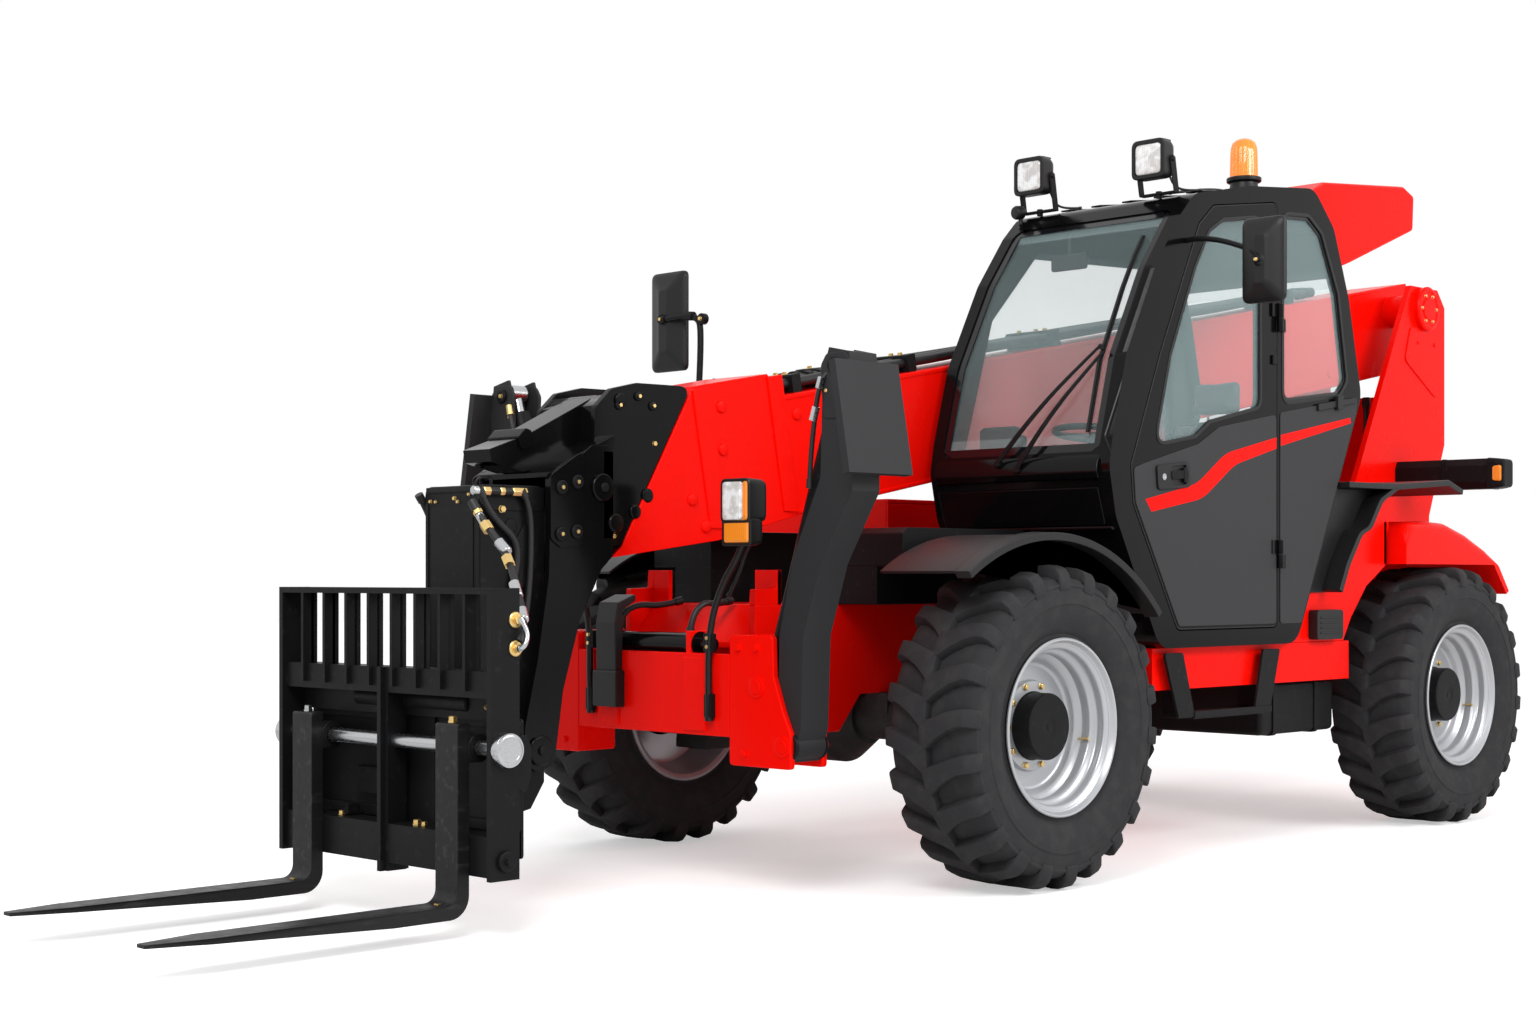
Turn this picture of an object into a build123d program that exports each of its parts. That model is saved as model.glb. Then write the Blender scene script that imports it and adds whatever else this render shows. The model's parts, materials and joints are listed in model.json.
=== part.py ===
"""Telehandler with a front fork carriage, a three-stage boom and two stabilisers.

Millimetres. X runs forward, Y to the machine's left and Z up from the ground.
Sizes along X are measured from the front axle; the finished machine is moved
so that its origin lies on the ground in the middle of its length.
"""
from build123d import *
from math import atan2, cos, degrees, hypot, radians, sin
import os

os.makedirs("parts", exist_ok=True)

# ------------------------------------------------------------------ overall
WHEELBASE = 3070.0
FORK_TIP_X = 3300.0
TAIL_X = -4600.0
HITCH_BORE = 32.0
ORIGIN_X = (FORK_TIP_X + TAIL_X) / 2

SEAT_GAP = 0.3            # between a piece and what carries it on another body
FRONT_AXLE_X = 0.0
REAR_AXLE_X = FRONT_AXLE_X - WHEELBASE

# ------------------------------------------------------------- running gear
TYRE_RADIUS = 600.0
TYRE_WIDTH = 400.0
WHEEL_Y = 1010.0
AXLE_Z = TYRE_RADIUS
RIM_SEAT_RADIUS = 305.0
RIM_FLANGE_RADIUS = 330.0
RIM_FLANGE_HALF = 175.0
RIM_WALL = 10.0
DISC_INNER_W = -5.0       # wheel disc, measured along the axle from the wheel's middle
DISC_OUTER_W = 15.0
HUB_RADIUS = 124.5
HUB_FACE_W = 112.0
KINGPIN_Y = 820.0
KINGPIN_RADIUS = 60.0
KINGPIN_HALF = 140.0
YOKE_ARM = 40.0
SPINDLE_RADIUS = 130.0
AXLE_TUBE_RADIUS = 90.0
DIFF_RADIUS = 190.0

# ------------------------------------------------------------------ chassis
PLATE_Y = 360.0           # outer faces of the two long side plates
PLATE = 30.0
PLATE_INNER_Y = PLATE_Y - PLATE
FRAME_BOTTOM_Z = 560.0
FRONT_TOP_Z = 1050.0
MID_TOP_Z = 860.0
REAR_TOP_Z = 1100.0
ARCH_Z = 700.0
ARCH_HALF = 200.0
FRAME_REAR_X = -4330.0
DECK_Z = 870.0            # top of the side platforms, floor of the cab
DECK_REAR_X = REAR_AXLE_X + 790.0
TANK_CLEAR = 200.0        # from the rear tyres to the fuel tank

# ------------------------------------------------------- front beam, stabilisers
BEAM_BACK_X = 780.0
BEAM_FRONT_X = 970.0
BEAM_BOTTOM_Z = 575.0
BEAM_TOP_Z = 875.0
BEAM_HALF = 445.0
EAR = 25.0
LEG_PIVOT_Y = 690.0
LEG_PIVOT_Z = 555.0
LEG_HALF = 70.0           # half the leg's size along X
LEG_X = (BEAM_BACK_X + BEAM_FRONT_X) / 2
LEG_SIDE = 12.0
LEG_WEB = 20.0
LEG_PIN = 26.0
LEG_SWING = 100.0
LEG_EYE = (930.0, 1900.0)         # y, z of the pin at the leg's top
LEG_CYLINDER_BASE = (560.0, 760.0)
FOOT_GROUND_GAP = 6.0
FOOT_X = (720.0, 1045.0)
FOOT_Z = (1505.0, 1900.0)
FOOT = 30.0

# --------------------------------------------------------------------- boom
PIVOT_X = -4270.0
PIVOT_Z = 2585.0
BOOM_SLOPE = 10.5         # degrees down towards the front, as parked
OUTER_TOP = 140.0         # stage sections, measured square to the boom's line
OUTER_BOTTOM = -325.0
OUTER_HALF = 170.0
STAGE_WALL = 12.0
MID_TOP = 95.0
MID_BOTTOM = -285.0
MID_HALF = 135.0
INNER_TOP = 55.0
INNER_BOTTOM = -248.0
INNER_HALF = 102.0
BOOM_TAIL = -190.0        # places along the boom's line from its pivot
MID_TAIL = 350.0
INNER_TAIL = 600.0
INNER_END = 5640.0
BOOM_PIVOT_RADIUS = 85.0
HEAD_Y = 165.0
HEAD_PLATE = 25.0
NECK_OUTER_Y = 195.0
NECK_PLATE = 28.0

# --------------------------------------------------- hitch, carriage and forks
TILT_X = 1680.0
TILT_Z = 556.0
TILT_PIN = 32.0
HITCH_BACK_X = 1610.0
HITCH_FRONT_X = 1890.0
HITCH_HALF = 155.0
HITCH_PLATE = 22.0
HITCH_BOTTOM_Z = 350.0
HITCH_TOP_Z = 1465.0
CARRIAGE_BACK_X = 2081.0
CARRIAGE_FRONT_X = 2196.0
CARRIAGE_HALF = 607.0
CARRIAGE_BOTTOM_Z = 192.0
CARRIAGE_TOP_Z = 1119.0
CARRIAGE_BAND_Z = (768.0, 853.0)
CARRIAGE_FOOT_Z = (200.0, 330.0)
CARRIAGE_SIDE = 22.0
GRILLE_BARS = 8
GRILLE_BAR = 14.0
SHAFT_X = 2140.0
SHAFT_Z = 606.0
SHAFT_RADIUS = 25.0
FORK_Y = 415.0
FORK_WIDTH = 120.0
FORK_SHANK = 47.0
FORK_FACE_X = 2226.0
FORK_TOP_Z = 109.0
FORK_HEEL = 45.0
FORK_TIP = 12.0
SHANK_TOP_Z = 690.0

# ---------------------------------------------------------------- cylinders
LIFT_BASE = (-3950.0, 720.0)
LIFT_S = 2150.0
LIFT_T = -400.0
LIFT_BARREL = 95.0
LIFT_ROD = 50.0
TILT_BASE = (1400.0, 1470.0)
TILT_EYE = (1640.0, 800.0)
TILT_BARREL = 52.0
TILT_ROD = 32.0
TILT_EAR = (62.0, 84.0)
LEG_BARREL = 45.0
LEG_ROD = 25.0

# ---------------------------------------------------------------------- cab
CAB_LEFT_Y = 1100.0
CAB_RIGHT_Y = 200.0
CAB_WALL = 40.0
CAB_SIDE = [              # x, z around the cab's side, from the front of its floor
    (-740, DECK_Z), (-500, 1370), (-440, 1570), (-905, 2640), (-975, 2715),
    (-1384, 2780), (-1900, 2835), (-2066, 2680), (-2194, 2377), (-2300, 1958),
    (-1760, DECK_Z)]
DOOR_SIDE = [             # x, z around the door, from the foot of its hinge edge
    (-1600, 944), (-860, 944), (-610, 1374), (-580, 1529), (-1020, 2560),
    (-1140, 2680), (-1600, 2735)]
DOOR_GAP = 6.0
HINGE_RADIUS = 14.0
HINGE_LENGTH = 60.0
HINGE_Z = (1250.0, 2250.0)
DOOR_AXIS = (DOOR_SIDE[0][0] - DOOR_GAP / 2, CAB_LEFT_Y + HINGE_RADIUS)
DOOR_WINDOW = [
    (-720, 1590), (-980, 1620), (-1180, 1740), (-1520, 1790), (-1520, 2640),
    (-1180, 2600), (-1080, 2500)]
REAR_WINDOW = [
    (-1680, 1800), (-2070, 1850), (-2170, 1960), (-2100, 2330), (-1980, 2600),
    (-1860, 2720), (-1680, 2730)]
GLASS = 8.0
BEACON_AT = (-1740.0, 850.0)
BEACON_FOOT_Z = 2890.0
BEACON_HEIGHT = 175.0

# -------------------------------------------------------------- engine side
HOOD_X = (-2300.0, -760.0)
HOOD_Y = (-1150.0, -350.0)
HOOD_Z = (DECK_Z, 1500.0)
HOOD_WALL = 20.0


# ------------------------------------------------------------------ helpers
def side_plane(y):
    return Plane(origin=(0, y, 0), x_dir=(1, 0, 0), z_dir=(0, -1, 0))


def front_plane(x):
    return Plane(origin=(x, 0, 0), x_dir=(0, 1, 0), z_dir=(1, 0, 0))


def outline(points, radius=0.0):
    face = Polygon(*points, align=(Align.NONE, Align.NONE))
    return fillet(face.vertices(), radius) if radius else face


def side_slab(points, y0, y1, radius=0.0):
    """Extrude an x, z outline from y0 to y1."""
    return extrude(side_plane(y0) * outline(points, radius), amount=y1 - y0, dir=(0, 1, 0))


def front_slab(points, x0, x1, radius=0.0):
    """Extrude a y, z outline from x0 to x1."""
    return extrude(front_plane(x0) * outline(points, radius), amount=x1 - x0, dir=(1, 0, 0))


def plan_slab(points, z0, z1, radius=0.0):
    """Extrude an x, y outline from z0 to z1."""
    return extrude(Plane(origin=(0, 0, z0)) * outline(points, radius), amount=z1 - z0, dir=(0, 0, 1))


def block(x0, x1, y0, y1, z0, z1):
    size = Box(abs(x1 - x0), abs(y1 - y0), abs(z1 - z0))
    return Pos((x0 + x1) / 2, (y0 + y1) / 2, (z0 + z1) / 2) * size


def bar(start, end, radius):
    """A round bar from one point to another."""
    run = Vector(*end) - Vector(*start)
    frame = Plane(origin=start, z_dir=run)
    return frame * Cylinder(radius, run.length, align=(Align.CENTER, Align.CENTER, Align.MIN))


def cross_bar(x, z, y0, y1, radius):
    return bar((x, y0, z), (x, y1, z), radius)


def mirrored(shape):
    return mirror(shape, about=Plane.XZ)


def both_sides(shape):
    return shape + mirrored(shape)


def boom_point(s, t):
    """x, z of a place s along the boom's line and t square to it."""
    slope = radians(BOOM_SLOPE)
    return PIVOT_X + s * cos(slope) + t * sin(slope), PIVOT_Z - s * sin(slope) + t * cos(slope)


def boom_slab(points, y0, y1, radius=0.0):
    return side_slab([boom_point(s, t) for s, t in points], y0, y1, radius)


def cylinder_frame(base, tip, pin_dir):
    run = Vector(*tip) - Vector(*base)
    return Plane(origin=base, x_dir=pin_dir, z_dir=run), run.length


def cylinder_barrel(base, tip, pin_dir, radius, bore, eye, eye_half, pin, end_gap):
    """Barrel with its base eye at base, bored for the rod up to its open end."""
    frame, length = cylinder_frame(base, tip, pin_dir)
    up = (Align.CENTER, Align.CENTER, Align.MIN)
    start = eye * 0.6
    floor = eye + 8
    barrel = Pos(0, 0, start) * Cylinder(radius, length - end_gap - start, align=up)
    barrel += Rot(0, 90, 0) * Cylinder(eye, 2 * eye_half)
    barrel -= Rot(0, 90, 0) * Cylinder(pin + SEAT_GAP, 2 * max(eye_half, radius) + 2)
    barrel -= Pos(0, 0, floor) * Cylinder(bore + SEAT_GAP, length, align=up)
    return frame * barrel


def cylinder_rod(base, tip, pin_dir, radius, inset, eye, eye_half, pin):
    """Rod from a place inset along the barrel to the eye at tip."""
    frame, length = cylinder_frame(base, tip, pin_dir)
    up = (Align.CENTER, Align.CENTER, Align.MIN)
    rod = Pos(0, 0, inset) * Cylinder(radius, length - inset - eye * 0.6, align=up)
    rod += Pos(0, 0, length) * Rot(0, 90, 0) * Cylinder(eye, 2 * eye_half)
    rod -= Pos(0, 0, length) * Rot(0, 90, 0) * Cylinder(pin, 2 * eye_half + 2)
    return frame * rod


# ------------------------------------------------------------------- wheels
def wheel_turned(profile, x, side):
    """Turn an r, w profile about a wheel's axis; w grows outwards."""
    points = [(r, WHEEL_Y + w) for r, w in profile]
    face = Plane.XY * Polygon(*points, align=(Align.NONE, Align.NONE))
    turned = Pos(x, 0, AXLE_Z) * revolve(face, axis=Axis.Y)
    return turned if side > 0 else mirrored(turned)


def tyre(x, side):
    bead = RIM_SEAT_RADIUS + SEAT_GAP
    half = TYRE_WIDTH / 2
    left = [(bead, 150), (345, 152), (385, 182), (440, half), (520, 196), (575, 182), (588, 165),
            (TYRE_RADIUS, 100)]
    return wheel_turned(left + [(r, -w) for r, w in reversed(left)], x, side)


def rim(x, side):
    flange = RIM_FLANGE_RADIUS
    seat = RIM_SEAT_RADIUS
    half = RIM_FLANGE_HALF
    profile = [
        (flange, half), (flange, half - 10), (seat, half - 17), (seat, 17 - half),
        (flange, 10 - half), (flange, -half), (seat + 8, -half), (seat - RIM_WALL, 12 - half),
        (seat - RIM_WALL, DISC_INNER_W), (0, DISC_INNER_W), (0, HUB_FACE_W),
        (HUB_RADIUS, HUB_FACE_W), (HUB_RADIUS, 35), (172, 35), (172, DISC_OUTER_W),
        (232, DISC_OUTER_W), (252, 60), (268, 92), (290, 104), (seat - RIM_WALL, 150),
        (seat + 8, half)]
    return wheel_turned(profile, x, side)


def knuckle(x, side):
    boss = bar((x, KINGPIN_Y, AXLE_Z - KINGPIN_HALF + SEAT_GAP),
               (x, KINGPIN_Y, AXLE_Z + KINGPIN_HALF - SEAT_GAP), KINGPIN_RADIUS)
    neck = cross_bar(x, AXLE_Z, KINGPIN_Y, KINGPIN_Y + 60, 90)
    drive = cross_bar(x, AXLE_Z, KINGPIN_Y + 50, WHEEL_Y + DISC_INNER_W - SEAT_GAP, SPINDLE_RADIUS)
    piece = boss + neck + drive
    return piece if side > 0 else mirrored(piece)


def axle(x):
    arm_top = KINGPIN_HALF + YOKE_ARM
    half = cross_bar(x, AXLE_Z, 0, 700, AXLE_TUBE_RADIUS)
    half += block(x - 80, x + 80, 640, 740, AXLE_Z - arm_top, AXLE_Z + arm_top)
    for low in (-arm_top, KINGPIN_HALF):
        half += block(x - 62, x + 62, 700, KINGPIN_Y, AXLE_Z + low, AXLE_Z + low + YOKE_ARM)
        half += bar((x, KINGPIN_Y, AXLE_Z + low), (x, KINGPIN_Y, AXLE_Z + low + YOKE_ARM), 62)
    half += block(x - 90, x + 90, 290, 400, AXLE_Z, ARCH_Z)
    diff = wheel_housing(x)
    return both_sides(half) + diff


def wheel_housing(x):
    profile = [(0, -230), (110, -230), (DIFF_RADIUS, -110), (DIFF_RADIUS, 110), (110, 230), (0, 230)]
    face = Polygon(*profile, align=(Align.NONE, Align.NONE))
    return Pos(x, 0, AXLE_Z) * revolve(face, axis=Axis.Y)


# ------------------------------------------------------------------ chassis
def chassis_frame():
    def arch(x):
        return [(x + ARCH_HALF + 120, FRAME_BOTTOM_Z), (x + ARCH_HALF, ARCH_Z),
                (x - ARCH_HALF, ARCH_Z), (x - ARCH_HALF - 120, FRAME_BOTTOM_Z)]
    side = [
        (FRAME_REAR_X, REAR_TOP_Z), (-2500, REAR_TOP_Z), (-2350, MID_TOP_Z), (-700, MID_TOP_Z),
        (-590, FRONT_TOP_Z), (BEAM_BACK_X, FRONT_TOP_Z), (BEAM_BACK_X, FRAME_BOTTOM_Z)]
    side += arch(FRONT_AXLE_X) + arch(REAR_AXLE_X) + [(FRAME_REAR_X, FRAME_BOTTOM_Z)]
    frame = both_sides(side_slab(side, PLATE_INNER_Y, PLATE_Y))
    reach = PLATE_INNER_Y
    cross_plates = [      # x0, x1, z0, z1
        (620, 650, FRAME_BOTTOM_Z, FRONT_TOP_Z),
        (320, 650, FRONT_TOP_Z - PLATE, FRONT_TOP_Z),
        (-2400, -650, FRAME_BOTTOM_Z, FRAME_BOTTOM_Z + 20),
        (-700, -670, FRAME_BOTTOM_Z, MID_TOP_Z),
        (-2400, -2370, FRAME_BOTTOM_Z, MID_TOP_Z),
        (FRAME_REAR_X, FRAME_REAR_X + PLATE, FRAME_BOTTOM_Z, REAR_TOP_Z)]
    for x0, x1, z0, z1 in cross_plates:
        frame += block(x0, x1, -reach, reach, z0, z1)
    return frame + cross_bar(*LIFT_BASE, -reach, reach, 45)


def boom_tower():
    side = [(-3250, REAR_TOP_Z), (-3600, 1720), (-4000, 2470), (-4130, 2700), (-4420, 2700),
            (-4500, 2610), (-4500, 1870), (FRAME_REAR_X, 1480), (FRAME_REAR_X, REAR_TOP_Z)]
    tower = side_slab(side, PLATE_INNER_Y, PLATE_Y)
    tower += cross_bar(PIVOT_X, PIVOT_Z, PLATE_INNER_Y, PLATE_Y + 22, 115)
    tower = both_sides(tower)
    reach = PLATE_INNER_Y
    tower += side_slab([(-4500, 2150), (-4500, 1870), (FRAME_REAR_X, 1480), (FRAME_REAR_X, REAR_TOP_Z),
                        (FRAME_REAR_X + PLATE, REAR_TOP_Z), (FRAME_REAR_X + PLATE, 1480),
                        (-4470, 1870), (-4470, 2150)], -reach, reach)
    return tower


def rear_counterweight():
    side = [(FRAME_REAR_X, 620), (FRAME_REAR_X, 1160), (-4460, 1160), (-4520, 1080), (-4520, 700),
            (-4460, 620)]
    weight = side_slab(side, -520, 520)
    for z0, z1 in ((760, 790), (860, 890)):
        ear = block(-4560, -4520, -60, 60, z0, z1)
        ear += bar((-4560, 0, z0), (-4560, 0, z1), 40)
        weight += ear
    weight -= bar((-4560, 0, 750), (-4560, 0, 900), HITCH_BORE / 2)
    return weight


def side_platforms():
    """Decks between the wheels: the cab stands on the left one, the engine on the right one."""
    deck = block(DECK_REAR_X, -760, PLATE_Y, 1050, DECK_Z - 20, DECK_Z)
    deck += block(DECK_REAR_X, -760, 1030, 1050, 700, DECK_Z - 20)
    for x in (DECK_REAR_X, -1640, -780):
        deck += block(x, x + 20, PLATE_Y, 1030, 700, DECK_Z - 20)
    bulkhead = block(*HOOD_X, -PLATE_Y, HOOD_Y[1], DECK_Z - 20, HOOD_Z[1] - HOOD_WALL - SEAT_GAP)
    bulkhead -= block(*HOOD_X, -PLATE_Y, HOOD_Y[1], 0, MID_TOP_Z)
    return both_sides(deck) + bulkhead


def fuel_tank():
    return block(REAR_AXLE_X + TYRE_RADIUS + TANK_CLEAR, -1660, 400, 980, 470, 700)


def cab_step():
    step = block(-1568, -992, 930, 1090, 580, 600)
    for x in (-1568, -1004):
        step += side_slab([(x, 580), (x + 12, 580), (x + 12, 700), (x, 700)], 930, 1050)
    return step


def front_beam():
    beam = block(BEAM_BACK_X, BEAM_FRONT_X, -BEAM_HALF, BEAM_HALF, BEAM_BOTTOM_Z, BEAM_TOP_Z)
    beam -= block(BEAM_BACK_X - 1, BEAM_FRONT_X - 25, -BEAM_HALF + 25, BEAM_HALF - 25,
                  BEAM_BOTTOM_Z + 25, BEAM_TOP_Z + 1)
    ear = [(BEAM_HALF - 25, 475), (740, 475), (760, 520), (755, 600), (655, 800), (640, 945),
           (BEAM_HALF - 25, 945)]
    end = front_slab(ear, BEAM_BACK_X, BEAM_BACK_X + EAR)
    end += front_slab(ear, BEAM_FRONT_X - EAR, BEAM_FRONT_X)
    end += block(BEAM_BACK_X, BEAM_FRONT_X, BEAM_HALF - 25, BEAM_HALF, 475, 945)
    for y, z in ((LEG_PIVOT_Y, LEG_PIVOT_Z), LEG_CYLINDER_BASE):
        end += bar((BEAM_BACK_X, y, z), (BEAM_FRONT_X, y, z), LEG_PIN)
    return beam + both_sides(end)


# -------------------------------------------------------------- stabilisers
def leg_sole():
    """y, z of the sole's middle and the unit vector out of it, with the leg folded up."""
    turn = radians(LEG_SWING)
    out = (sin(turn), -cos(turn))
    reach = LEG_PIVOT_Z - FOOT_GROUND_GAP
    z = sum(FOOT_Z) / 2
    y = LEG_PIVOT_Y + (reach - out[1] * (z - LEG_PIVOT_Z)) / out[0]
    return (y, z), out


def stabiliser_leg(side):
    outer = [(715, 500), (755, 620), (768, 950), (850, 1200), (1000, 1450), (1000, 1800), (985, 1930)]
    inner = [(890, 1950), (860, 1860), (850, 1500), (720, 1230), (650, 950), (640, 560), (660, 500)]
    x0, x1 = LEG_X - LEG_HALF, LEG_X + LEG_HALF
    body = front_slab(outer + inner, x0, x1)
    web = [(y - LEG_WEB, z) for y, z in outer]
    hollow = front_slab([(web[0][0], 400)] + web + [(web[-1][0], 2000), (500, 2000), (500, 400)],
                        x0 + LEG_SIDE, x1 - LEG_SIDE)
    leg = body - hollow
    leg += bar((x0, LEG_PIVOT_Y, LEG_PIVOT_Z), (x1, LEG_PIVOT_Y, LEG_PIVOT_Z), 55)
    leg -= bar((x0 - 1, LEG_PIVOT_Y, LEG_PIVOT_Z), (x1 + 1, LEG_PIVOT_Y, LEG_PIVOT_Z), LEG_PIN + SEAT_GAP)
    (y, z), out = leg_sole()
    sole = Plane(origin=(sum(FOOT_X) / 2, y, z), x_dir=(1, 0, 0), z_dir=(0, out[0], out[1]))
    width, height = FOOT_X[1] - FOOT_X[0], FOOT_Z[1] - FOOT_Z[0]
    foot = Box(width, height, FOOT, align=(Align.CENTER, Align.CENTER, Align.MAX))
    leg += sole * foot
    return leg if side > 0 else mirrored(leg)


def leg_cylinder(side, piece):
    base = (LEG_X, *LEG_CYLINDER_BASE)
    tip = (LEG_X, *LEG_EYE)
    if piece == "barrel":
        shape = cylinder_barrel(base, tip, (1, 0, 0), LEG_BARREL, LEG_ROD, 50, 45, LEG_PIN, 90)
    else:
        shape = cylinder_rod(base, tip, (1, 0, 0), LEG_ROD, 70, 36, 35, 20)
    return shape if side > 0 else mirrored(shape)


# --------------------------------------------------------------------- boom
def boom_outer():
    skin = [(BOOM_TAIL, OUTER_BOTTOM), (BOOM_TAIL, OUTER_TOP), (4800, OUTER_TOP), (4830, 233),
            (5225, 233), (5680, -290), (5739, -322), (5200, -352), (4700, OUTER_BOTTOM)]
    tube = boom_slab(skin, -OUTER_HALF, OUTER_HALF)
    wall = STAGE_WALL
    tube -= boom_slab([(BOOM_TAIL + 300, OUTER_BOTTOM + wall), (BOOM_TAIL + 300, OUTER_TOP - wall),
                       (6000, OUTER_TOP - wall), (6000, OUTER_BOTTOM + wall)],
                      wall - OUTER_HALF, OUTER_HALF - wall)
    pads = stage_pads(4900, 5150, OUTER_BOTTOM + wall, OUTER_TOP - wall, OUTER_HALF - wall,
                      MID_BOTTOM, MID_TOP, MID_HALF)
    tube += pads
    tube += cross_bar(PIVOT_X, PIVOT_Z, SEAT_GAP - PLATE_INNER_Y, PLATE_INNER_Y - SEAT_GAP,
                      BOOM_PIVOT_RADIUS)
    ear = [(LIFT_S - 130, OUTER_BOTTOM + 5), (LIFT_S + 130, OUTER_BOTTOM + 5),
           (LIFT_S + 60, LIFT_T - 75), (LIFT_S - 60, LIFT_T - 75)]
    return tube + both_sides(boom_slab(ear, 70, 95))


def stage_pads(s0, s1, bottom, top, half, inner_bottom, inner_top, inner_half):
    """Wear pads that carry one stage inside the next: two above, two below, one each side."""
    gap = SEAT_GAP
    pads = boom_slab([(s0, inner_top + gap), (s0, top + 1), (s1, top + 1), (s1, inner_top + gap)],
                     -inner_half, inner_half)
    pads += boom_slab([(s0, bottom - 1), (s0, inner_bottom - gap), (s1, inner_bottom - gap),
                       (s1, bottom - 1)], -inner_half, inner_half)
    side = boom_slab([(s0, inner_bottom + 40), (s0, inner_top - 40), (s1, inner_top - 40),
                      (s1, inner_bottom + 40)], inner_half + gap, half + 1)
    return pads + both_sides(side)


def boom_mid():
    wall = STAGE_WALL
    front = [(5290, MID_TOP), (5610, MID_BOTTOM)]
    tube = boom_slab([(MID_TAIL, MID_BOTTOM), (MID_TAIL, MID_TOP)] + front, -MID_HALF, MID_HALF)
    tube -= boom_slab([(MID_TAIL - 1, MID_BOTTOM + wall), (MID_TAIL - 1, MID_TOP - wall),
                       (6000, MID_TOP - wall), (6000, MID_BOTTOM + wall)],
                      wall - MID_HALF, MID_HALF - wall)
    return tube + stage_pads(4950, 5250, MID_BOTTOM + wall, MID_TOP - wall, MID_HALF - wall,
                             INNER_BOTTOM, INNER_TOP, INNER_HALF)


def boom_inner():
    wall = STAGE_WALL
    tube = boom_slab([(INNER_TAIL, INNER_BOTTOM), (INNER_TAIL, INNER_TOP), (INNER_END, INNER_TOP),
                      (INNER_END, INNER_BOTTOM)], -INNER_HALF, INNER_HALF)
    return tube - boom_slab([(INNER_TAIL - 1, INNER_BOTTOM + wall), (INNER_TAIL - 1, INNER_TOP - wall),
                             (INNER_END - 40, INNER_TOP - wall), (INNER_END - 40, INNER_BOTTOM + wall)],
                            wall - INNER_HALF, INNER_HALF - wall)


def boom_head():
    cheek = [(985, 1849), (1343, 1811), (1400, 1283), (1290, 1265)]
    head = side_slab(cheek, HEAD_Y - HEAD_PLATE, HEAD_Y)
    neck = [(1350, 1580), (1610, 1560), (1610, 900), (1730, 640), (1745, 520), (1690, 480),
            (1610, 500), (1430, 800), (1350, 1280)]
    head += side_slab(neck, NECK_OUTER_Y - NECK_PLATE, NECK_OUTER_Y)
    head += side_slab([(1345, 1560), (1400, 1560), (1400, 1290), (1345, 1290)], HEAD_Y - HEAD_PLATE, NECK_OUTER_Y)
    head = both_sides(head)
    wedge = [(1150, 1822), (1313, 1808), (1917, 1544), (1900, 1505), (1560, 1560), (1345, 1640),
             (1150, 1690)]
    head += side_slab(wedge, -HEAD_Y + HEAD_PLATE, HEAD_Y - HEAD_PLATE)
    head += both_sides(side_slab([(1345, 1640), (1560, 1560), (1600, 1540), (1600, 1590), (1345, 1700)],
                                 HEAD_Y - HEAD_PLATE - 1, NECK_OUTER_Y))
    head += cross_bar(TILT_X, TILT_Z, -NECK_OUTER_Y, NECK_OUTER_Y, TILT_PIN)
    head += cross_bar(*TILT_BASE, -NECK_OUTER_Y, NECK_OUTER_Y, TILT_PIN)
    reach = HEAD_Y - HEAD_PLATE
    tube = boom_slab([(5000, INNER_BOTTOM), (5000, INNER_TOP), (INNER_END, INNER_TOP),
                      (INNER_END, INNER_BOTTOM)], -INNER_HALF, INNER_HALF)
    end = boom_slab([(INNER_END, INNER_BOTTOM), (INNER_END, INNER_TOP), (INNER_END + 30, INNER_TOP),
                     (INNER_END + 30, INNER_BOTTOM)], -reach, reach)
    return (head - tube) + end


def boom_hoses():
    hoses = [(-110, 24), (-60, 20), (-15, 20), (35, 24), (85, 20)]
    lift = OUTER_TOP + 40
    pieces = None
    for y, radius in hoses:
        x0, z0 = boom_point(700, lift)
        x1, z1 = boom_point(4700, lift)
        hose = bar((x0, y, z0), (x1, y, z1), radius)
        pieces = hose if pieces is None else pieces + hose
    for s in (900, 1900, 2900, 3900, 4600):
        pieces += boom_slab([(s, OUTER_TOP), (s, lift + 35), (s + 50, lift + 35), (s + 50, OUTER_TOP)],
                            -150, 125)
    return pieces


# -------------------------------------------------- hitch, carriage and forks
def hitch_frame():
    back, front = HITCH_BACK_X, HITCH_FRONT_X
    side = [(back, HITCH_BOTTOM_Z + 90), (back + 60, HITCH_BOTTOM_Z), (CARRIAGE_BACK_X, HITCH_BOTTOM_Z - 80),
            (CARRIAGE_BACK_X, 700), (front, 760), (front, HITCH_TOP_Z), (back, HITCH_TOP_Z)]
    plate = side_slab(side, HITCH_HALF - HITCH_PLATE, HITCH_HALF)
    plate += cross_bar(TILT_X, TILT_Z, HITCH_HALF - HITCH_PLATE,
                       NECK_OUTER_Y - NECK_PLATE - SEAT_GAP, 62)
    plate += side_slab([(1590, 740), (front - 5, 700), (front - 5, 960), (1610, 870)], *TILT_EAR)
    frame = both_sides(plate)
    reach = HITCH_HALF - HITCH_PLATE
    frame += block(front - 20, front, -reach, reach, 760, HITCH_TOP_Z)
    frame += block(back + 60, front, -reach, reach, HITCH_TOP_Z - 20, HITCH_TOP_Z)
    frame += block(CARRIAGE_BACK_X - 20, CARRIAGE_BACK_X, -reach, reach, 280, 700)
    return frame - cross_bar(TILT_X, TILT_Z, -NECK_OUTER_Y, NECK_OUTER_Y, TILT_PIN + SEAT_GAP)


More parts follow.
